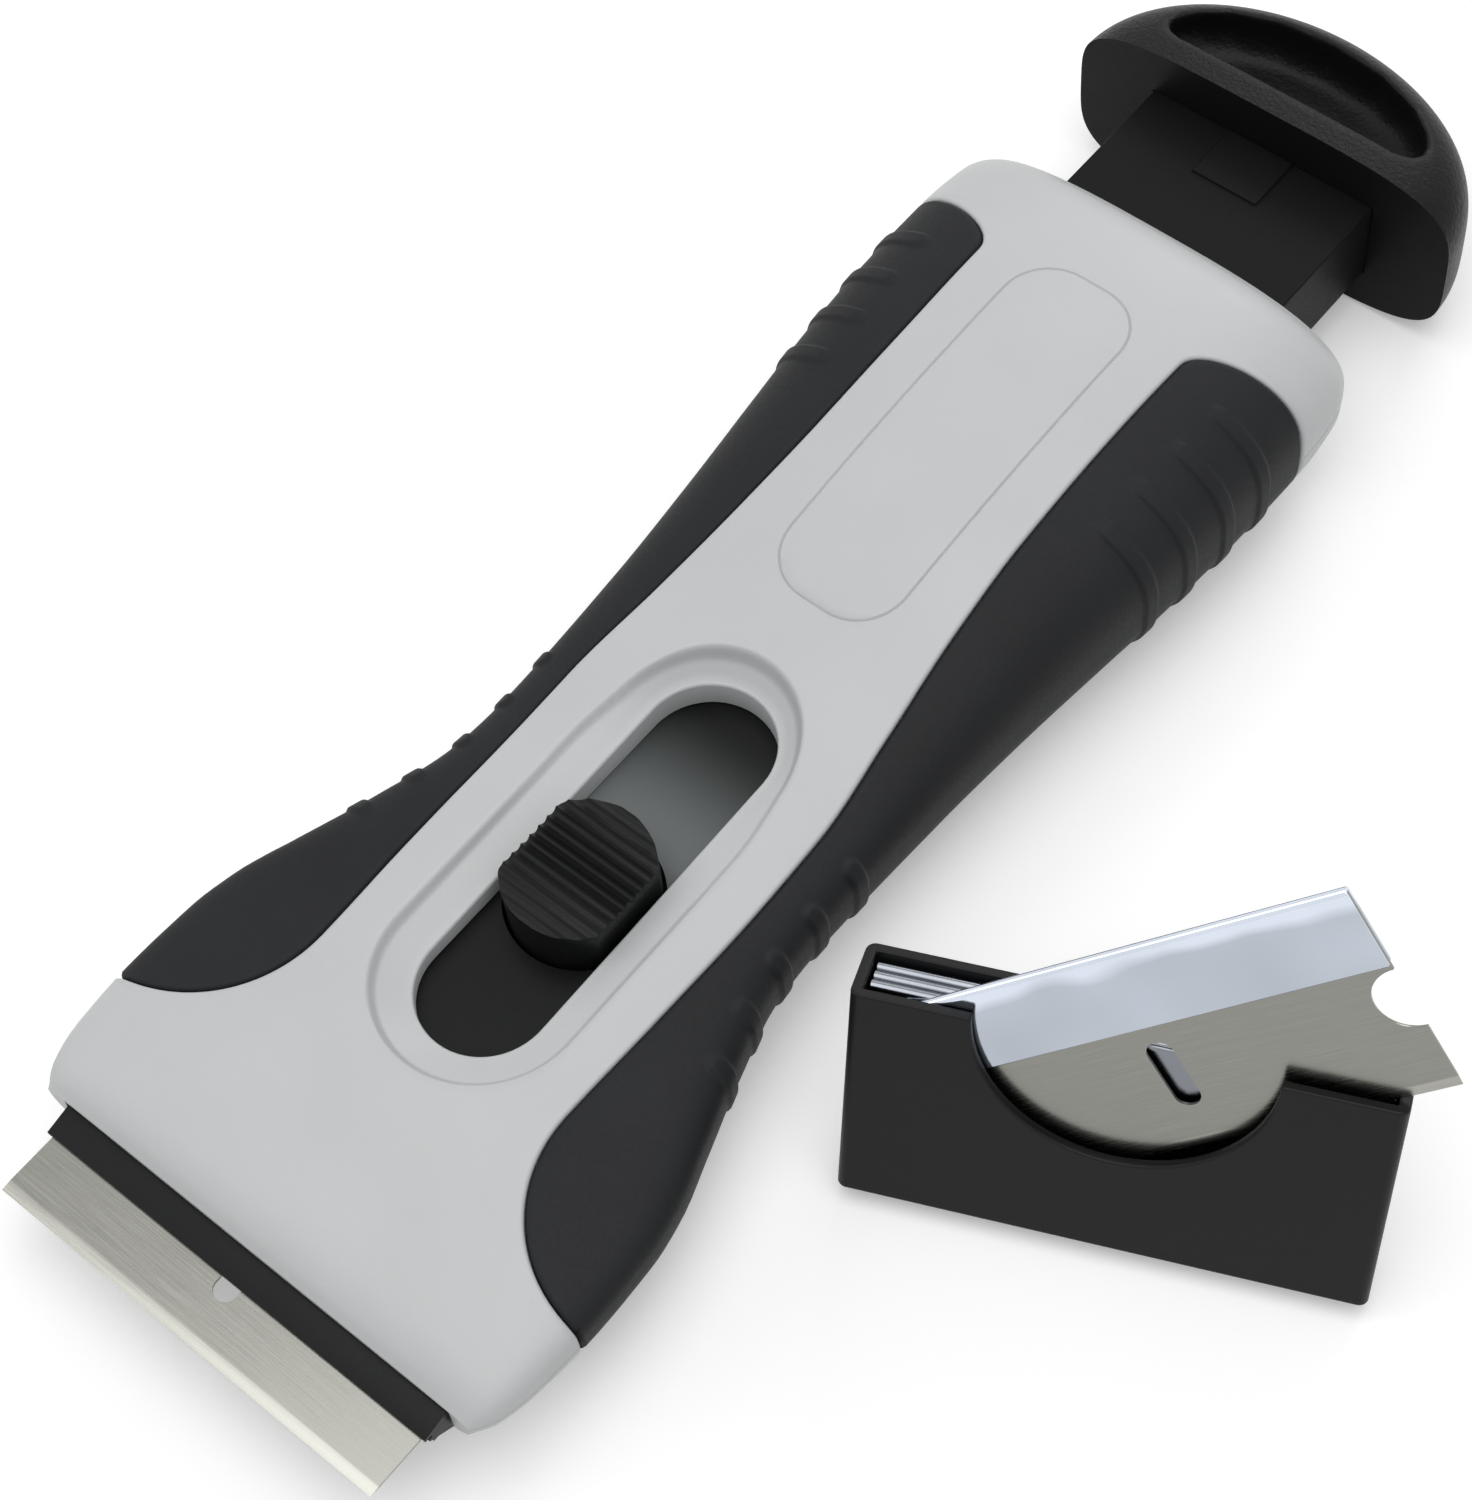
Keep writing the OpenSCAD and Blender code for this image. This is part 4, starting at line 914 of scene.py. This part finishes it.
class SCRAPER_OT_slide(bpy.types.Operator):
    """Dresses the carriage, the clamp bar, the screws and the button's spring"""

    bl_idname = "scraper.slide"
    bl_label = "Slide"

    def execute(self, context):
        colours = context.scene.scraper_colours
        # POM from a polished mould: dense black with a low, waxy sheen
        polished = {"roughness": 0.34, "grain": 0.35, "relief": 0.006, "tint": 0.05, "shine": 0.14}
        satin = moulded_plastic("moulded_pom_black_satin", tuple(colours.slide), **polished)
        # The same POM with a painted reflection: the black is painted paler, up to a soft grey just behind
        # the button, and fades away towards the rear of the slot
        behind, rise, short, paler = BUTTON_AT + BUTTON_L / 2, 6.0, 2.0, 36.0
        sheen_painted_pom = moulded_plastic("moulded_pom_black_painted_reflection", tuple(colours.slide), **polished,
                                 painted_sheen=(behind - rise, behind, SLOT_AT + SLOT_L - short, paler))
        for node, width, finish in (("clamp_bar", 0.14, satin), ("slide_carriage", 0.1, sheen_painted_pom)):
            evened(piece(node + "_moulding", softened(node, width), "slide", "slide_plastic", finish, node))
        # Zinc-plated steel: bright, a little blurred and slightly blue
        plated = rolled_steel("zinc_plated_screw_steel", linear("#B9BCBE"), roughness=0.3, wave=3.0)
        # Cold-rolled spring steel: a clean, slightly warm grey with soft reflections
        sprung = rolled_steel("rolled_spring_steel", linear("#A9A9A6"), roughness=0.25, wave=3.0)
        for node in ("clamp_screws", "shell_screws"):
            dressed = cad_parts[node].data.materials
            dressed.clear()
            dressed.append(plated)
        leaf = piece("button_leaf_spring", softened("button_spring", 0.04, 1), "slide", "spring_steel",
                     sprung, "button_spring")
        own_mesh(leaf)
        return {"FINISHED"}


class SCRAPER_OT_button(bpy.types.Operator):
    """Draws the ridged thumb button and its latch bar"""

    bl_idname = "scraper.button"
    bl_label = "Thumb button"

    def execute(self, context):
        sizes, colours = context.scene.scraper_sizes, context.scene.scraper_colours
        # POM from a blasted mould: a dull black that shows the scoops by soft shading
        matte = moulded_plastic("moulded_pom_black_matte", tuple(colours.button), roughness=0.42, grain=0.3,
                                relief=0.006, tint=0.08, shine=0.16)
        mesh = button_mesh(sizes.ridges).mesh("thumb_button", sharp=28)
        piece("thumb_button_pad", mesh, "button", "button_plastic", matte, "thumb_button")
        piece("latch_bar_with_ears", latch_mesh(), "button", "button_plastic", matte)
        return {"FINISHED"}


def magazine_place():
    """The magazine's own frame: its front left foot, its turn on the table and its lean."""
    foot = Vector((MAG_X, MAG_Y - REST_AT, MAG_D * math.sin(math.radians(MAG_LEAN)))) * MM
    return (Matrix.Translation(foot) @ Matrix.Rotation(math.radians(MAG_TURN), 4, "Z")
            @ Matrix.Rotation(math.radians(-MAG_LEAN), 4, "X"))


def shifted(x, y, z):
    return Matrix.Translation(Vector((x, y, z)) * MM)


def blade_places():
    """Frame of each blade: its cutting edge along x, its depth along y and its face along z."""
    upright = Matrix.Rotation(math.pi / 2, 4, "X")
    case = magazine_place()
    places = {"": ("slide", shifted(0, -REACH - REST_AT, BLADE_LEVEL))}
    for i, letter in enumerate("abc"):
        back = MAG_D - MAG_WALL - SEAT_GAP - (i + 0.5) * STACK_PITCH
        places[letter] = ("magazine", case @ shifted(MAG_L / 2, back, MAG_FLOOR + SEAT_GAP) @ upright)
    tilt = Matrix.Rotation(math.radians(-DRAW_TILT), 4, "Y")
    front = MAG_WALL + SEAT_GAP + STACK_PITCH / 2
    rim = MAG_L - MAG_WALL - DRAW_AT
    low = MAG_H + SEAT_GAP - rim * math.tan(math.radians(DRAW_TILT))
    corner = case @ shifted(DRAW_AT, front, low) @ tilt
    places["drawn"] = ("drawn", corner @ shifted(BLADE_W / 2, 0, 0) @ upright)
    return places


def hole_mouth():
    """Cutter that carries a blade's middle hole on towards its edge, in the blade's own frame."""
    turn, through = np.linspace(0, math.pi, 17), 2
    front, back = HOLE_EDGE + HOLE_W / 2 + REST_AT, HOLE_BACK + REST_AT
    round_end = [(HOLE_W / 2 * math.cos(a), front - HOLE_W / 2 * math.sin(a)) for a in turn]
    return prism([*round_end, (-HOLE_W / 2, back), (HOLE_W / 2, back)], -through, through)


class SCRAPER_OT_blades(bpy.types.Operator):
    """Dresses the blade in the clamp, the stored blades and the drawn blade, each with its spine"""

    bl_idname = "scraper.blades"
    bl_label = "Blades"

    def execute(self, context):
        colours = context.scene.scraper_colours
        # Carbon steel ground along the blade: a streaked grey sheen and a paler honed edge. The real lines
        # are about 0.02 mm apart and are drawn at 0.12 mm, to show
        steel = ground_steel("ground_blade_steel", tuple(colours.blade), roughness=0.24, line=0.12,
                             edge=BEVEL_W)
        # Cold-rolled steel folded over the blade: nearly a mirror, with a wavy painted highlight beside the
        # fold
        bright = rolled_steel("rolled_spine_steel", tuple(colours.spine), roughness=0.12, wave=9.0,
                              painted_highlight_fold=BLADE_D)
        # The same steel for the blades in the magazine, painted darker: a painted shade for the inside of the
        # case, and a little blurred
        case_shaded_steel = rolled_steel("rolled_spine_steel_painted_shade", linear("#83878D"), roughness=0.2, wave=9.0)
        for key, (body, place) in blade_places().items():
            blade, spine = {"": ("blade", "blade_spine"), "drawn": ("drawn_blade", "drawn_spine")}.get(
                key, ("spare_blade_" + key, "spare_spine_" + key))
            # Blades in the magazine take the steel painted darker, a painted shade
            back = case_shaded_steel if body == "magazine" else bright
            for node, width, slot, metal in ((blade, 0.015, "blade_steel", steel),
                                             (spine, 0.1, "spine_steel", back)):
                mesh = softened(node, width, 2, 30, place)
                if node == blade:
                    mesh = cut(mesh, [hole_mouth()], 30)
                evened(piece(node + "_steel", mesh, body, slot, metal, node, place=place))
        return {"FINISHED"}


# Drawer and magazine

# Half of the finger hollow's outline, from the middle of its straight front to the middle of its back
HOLLOW_PLAN = ((0, 133.5), (7, 133.5), (10.8, 133.55), (12.5, 133.95), (13.2, 134.9), (13.1, 136.0),
               (12.1, 137.4), (9.6, 139.2), (5.4, 140.7), (0, 141.2))
# How far cutters reach past what they cut
OVER = 9.0


def pull_mesh(ahead):
    """The drawer's half-round pull, drawn out ahead of its flat face: a half oval with a rounded side."""
    share = np.sin(np.linspace(-math.pi / 2, math.pi / 2, 61))
    turn = np.linspace(0, math.pi, 97)
    scale = (1 - np.abs(share).clip(0, 1) ** PULL_POWER) ** (1 / PULL_POWER)
    rings = []
    for s, k in zip(share, scale):
        half, z = PULL_W / 2 * k, PARTING_H + PULL_H / 2 * s
        ring = [(half * math.cos(a), FLANGE_AT + PULL_D * k * math.sin(a), z) for a in turn]
        rings.append([(half, FLANGE_AT - ahead, z), *ring, (-half, FLANGE_AT - ahead, z)])
    rings = np.array(rings)
    net = Net()
    net.sheet(rings)
    net.face([*rings[:, 0], *rings[::-1, -1]])
    return net


def hollow_mesh():
    """The finger hollow as a cutter: a dish with a rounded floor and a straight front."""
    floor = PARTING_H + PULL_H / 2 - HOLLOW_H
    half = np.array(HOLLOW_PLAN)
    plan = np.concatenate((half, (half * (-1, 1))[-2:0:-1]))
    mid = np.array((0, HOLLOW_MID))
    above = BODY_H + 6
    rings = [[(x, y, above) for x, y in plan]]
    for lower in np.linspace(0, math.pi / 2, 9):
        ring = mid + (plan - mid) * (1 - HOLLOW_ROUND * (1 - math.cos(lower)) / HOLLOW_SPREAD)
        rings.append([(x, y, floor + HOLLOW_ROUND * (1 - math.sin(lower))) for x, y in ring])
    net = Net()
    net.tube(rings)
    return net.mesh("hollow")


def rounded_over(mesh, voxel, passes):
    """The mesh laid out again in small even faces and relaxed, which rounds its edges."""
    worked = new_object("worked", mesh)
    again = worked.modifiers.new("again", "REMESH")
    again.mode, again.voxel_size = "VOXEL", voxel * MM
    relax = worked.modifiers.new("relax", "SMOOTH")
    relax.factor, relax.iterations = 0.5, passes
    made = bpy.data.meshes.new_from_object(worked.evaluated_get(bpy.context.evaluated_depsgraph_get()))
    bpy.data.objects.remove(worked)
    made.shade_smooth()
    return made


class SCRAPER_OT_drawer(bpy.types.Operator):
    """Draws the drawer's half-round pull and dresses the drawer"""

    bl_idname = "scraper.drawer"
    bl_label = "Drawer"

    def execute(self, context):
        colour = tuple(context.scene.scraper_colours.drawer)
        # PP from a leather-grained mould: black, with small glints on a grain about 0.4 mm wide
        grained = moulded_plastic("moulded_pp_black_grained", colour, roughness=0.38, grain=0.42, relief=0.12,
                                  tint=0.06, ior=1.49, shine=0.15)
        # PP from a plain mould: an even black with very little sheen
        plain = moulded_plastic("moulded_pp_black_plain", colour, roughness=0.48, grain=0.3, relief=0.006,
                                tint=0.06, ior=1.49, shine=0.1)
        gap = 0.1
        socket = prism(oblong(TRAY_W + 2 * gap, FLANGE_AT - 1, FLANGE_AT + SOCKET_D), TRAY_LEVEL - gap,
                       TRAY_TOP + gap)
        mesh = cut(pull_mesh(ahead=4.0).mesh("drawer_pull"), [hollow_mesh()], 40)
        mesh = rounded_over(mesh, voxel=0.28, passes=24)
        face = prism(oblong(2 * PULL_W, FLANGE_AT - OVER, FLANGE_AT), -OVER, BODY_H + OVER)
        mesh = cut(mesh, [face, socket], 50)
        piece("drawer_pull_moulding", mesh, "drawer", "drawer_plastic", grained, "drawer_pull")
        mesh.materials.append(plain)
        behind = (FLANGE_AT + SOCKET_D + 1 - REST_AT) * MM
        for facet in mesh.polygons:
            facet.material_index = int(facet.normal.y < -0.99 and facet.center.y < behind)
        evened(piece("drawer_tray_moulding", softened("drawer_tray", 0.3, 3), "drawer", "drawer_plastic",
                     plain, "drawer_tray"))
        return {"FINISHED"}


class SCRAPER_OT_magazine(bpy.types.Operator):
    """Dresses the case of the spare blades"""

    bl_idname = "scraper.magazine"
    bl_label = "Magazine"

    def execute(self, context):
        colour = tuple(context.scene.scraper_colours.magazine)
        # Polystyrene, thin-walled, from a fine mould: a hard, even black with a low satin sheen
        satin = moulded_plastic("moulded_ps_black_satin", colour, roughness=0.4, grain=0.3, relief=0.006,
                                tint=0.05, ior=1.57, shine=0.16)
        evened(piece("magazine_case_moulding", softened("magazine_case", 0.2), "magazine", "magazine_plastic",
                     satin, "magazine_case"))
        return {"FINISHED"}


# Stage


def area_light(name, place, target, size, watts):
    """A white softbox that faces a target; lengths are metres."""
    data = bpy.data.lights.new(name, "AREA")
    data.shape, data.size, data.size_y, data.energy = "RECTANGLE", size[0], size[1], watts
    made = new_object(name, data)
    made.location = place
    made.rotation_euler = (Vector(target) - Vector(place)).to_track_quat("-Z", "Y").to_euler()


def seen_rays(tree):
    """1 for the rays that show the surroundings: the camera's, and those mirrored or let through."""
    ray = add(tree, "ShaderNodeLightPath")
    seen = ray.outputs["Is Camera Ray"]
    for kind in ("Is Glossy Ray", "Is Transmission Ray"):
        seen = add(tree, "ShaderNodeMath", {"operation": "MAXIMUM"}, i0=seen,
                   i1=ray.outputs[kind]).outputs["Value"]
    return seen


class SCRAPER_OT_stage(bpy.types.Operator):
    """Sets the pale floor, the soft lights, the white surroundings and the camera"""

    bl_idname = "scraper.stage"
    bl_label = "Stage"

    def execute(self, context):
        scene = context.scene
        scene.view_settings.view_transform = "Standard"
        self.floor()
        self.world(scene)
        area_light("top_softbox", (0.06, -0.04, 0.55), (0.03, -0.02, 0), (0.5, 0.5), 1.5)
        area_light("side_softbox", (-0.45, -0.25, 0.4), (0, 0, 0), (0.3, 0.4), 0.45)
        area_light("rear_softbox", (-0.12, 0.5, 0.36), (0.01, 0.06, 0.01), (0.3, 0.2), 0.55)
        self.camera(scene)
        return {"FINISHED"}

    def floor(self):
        half = 900
        net = Net()
        net.face([(x, y, 0) for x, y in ((-half, -half), (half, -half), (half, half), (-half, half))])
        ground = new_object("floor", net.mesh("floor"))
        made, tree, where = started("white_paper_floor")
        # Uncoated white paper: matte, with a faint tooth drawn at 0.5 mm. It is lifted towards white where
        # the camera, mirrors and glass see it, and lights nothing, so the shadow on it stays
        tooth = add(tree, "ShaderNodeTexNoise", Vector=where, Scale=1 / (0.5 * MM), Detail=2.0)
        bump = add(tree, "ShaderNodeBump", Strength=0.1, Distance=0.02 * MM, Height=tooth.outputs["Fac"])
        paper = add(tree, "ShaderNodeBsdfDiffuse", Color=(*linear("#EEEEEE"), 1),
                    Normal=bump.outputs["Normal"])
        far = add(tree, "ShaderNodeVectorMath", {"operation": "LENGTH"}, i0=where)
        pale = add(tree, "ShaderNodeMapRange", {"interpolation_type": "SMOOTHSTEP"},
                   Value=far.outputs["Value"], From_Min=0.12, From_Max=0.7, To_Min=0.28, To_Max=0.64)
        lift = add(tree, "ShaderNodeMath", {"operation": "MULTIPLY"}, i0=seen_rays(tree),
                   i1=pale.outputs["Result"])
        glow = add(tree, "ShaderNodeEmission", Color=(*linear("#FFFFFF"), 1), Strength=lift.outputs["Value"])
        both = add(tree, "ShaderNodeAddShader", i0=paper.outputs["BSDF"], i1=glow.outputs["Emission"])
        add(tree, "ShaderNodeOutputMaterial", Surface=both.outputs["Shader"])
        ground.data.materials.append(made)

    def world(self, scene):
        scene.world = bpy.data.worlds.new("white_studio")
        scene.world.use_nodes = True
        tree = scene.world.node_tree
        tree.nodes.clear()
        power = add(tree, "ShaderNodeMapRange", Value=seen_rays(tree), To_Min=0.45, To_Max=1.0)
        sky = add(tree, "ShaderNodeBackground", Color=(*linear("#FFFFFF"), 1),
                  Strength=power.outputs["Result"])
        add(tree, "ShaderNodeOutputWorld", Surface=sky.outputs["Background"])

    def camera(self, scene):
        """The photograph's view: turned 46.4 degrees, 58.7 degrees above the table and rolled 7.8."""
        data = bpy.data.cameras.new("photo_view")
        data.sensor_width, data.lens = 36.0, 78.38
        data.clip_start, data.clip_end = 0.01, 10.0
        made = new_object("photo_view", data)
        turn, rise, roll = (math.radians(v) for v in (46.396, 58.748, -7.817))
        back = Vector((math.sin(turn) * math.cos(rise), -math.cos(turn) * math.cos(rise), math.sin(rise)))
        right = (-back).cross(Vector((0, 0, 1))).normalized()
        up = right.cross(-back)
        right, up = (math.cos(roll) * right + math.sin(roll) * up,
                     math.cos(roll) * up - math.sin(roll) * right)
        facing = Matrix((right, up, back)).transposed().to_4x4()
        eye = shifted(100.46, -100.755, 236.103)
        made.matrix_world = eye @ facing
        scene.camera = made


class SCRAPER_PT_pieces(bpy.types.Panel):
    """Lists the pieces of the scraper"""

    bl_idname = "SCRAPER_PT_pieces"
    bl_label = "Razor blade scraper"
    bl_space_type = "VIEW_3D"
    bl_region_type = "UI"
    bl_category = "Scraper"

    def draw(self, context):
        for group in (context.scene.scraper_sizes, context.scene.scraper_colours):
            for name in group.bl_rna.properties.keys():
                if name not in ("rna_type", "name"):
                    self.layout.prop(group, name)
        for operator in OPERATORS:
            self.layout.operator(operator.bl_idname)


OPERATORS = (SCRAPER_OT_shells, SCRAPER_OT_grips, SCRAPER_OT_slide, SCRAPER_OT_button, SCRAPER_OT_blades,
             SCRAPER_OT_drawer, SCRAPER_OT_magazine, SCRAPER_OT_stage)
CLASSES = (ScraperSizes, ScraperColours, *OPERATORS, SCRAPER_PT_pieces)


def register():
    for made in CLASSES:
        bpy.utils.register_class(made)
    bpy.types.Scene.scraper_sizes = PointerProperty(type=ScraperSizes)
    bpy.types.Scene.scraper_colours = PointerProperty(type=ScraperColours)


def unregister():
    del bpy.types.Scene.scraper_colours
    del bpy.types.Scene.scraper_sizes
    for made in reversed(CLASSES):
        bpy.utils.unregister_class(made)


def main():
    register()
    bpy.ops.scraper.shells()
    bpy.ops.scraper.grips()
    bpy.ops.scraper.slide()
    bpy.ops.scraper.button()
    bpy.ops.scraper.blades()
    bpy.ops.scraper.drawer()
    bpy.ops.scraper.magazine()
    bpy.ops.scraper.stage()


if __name__ == "__main__":
    main()
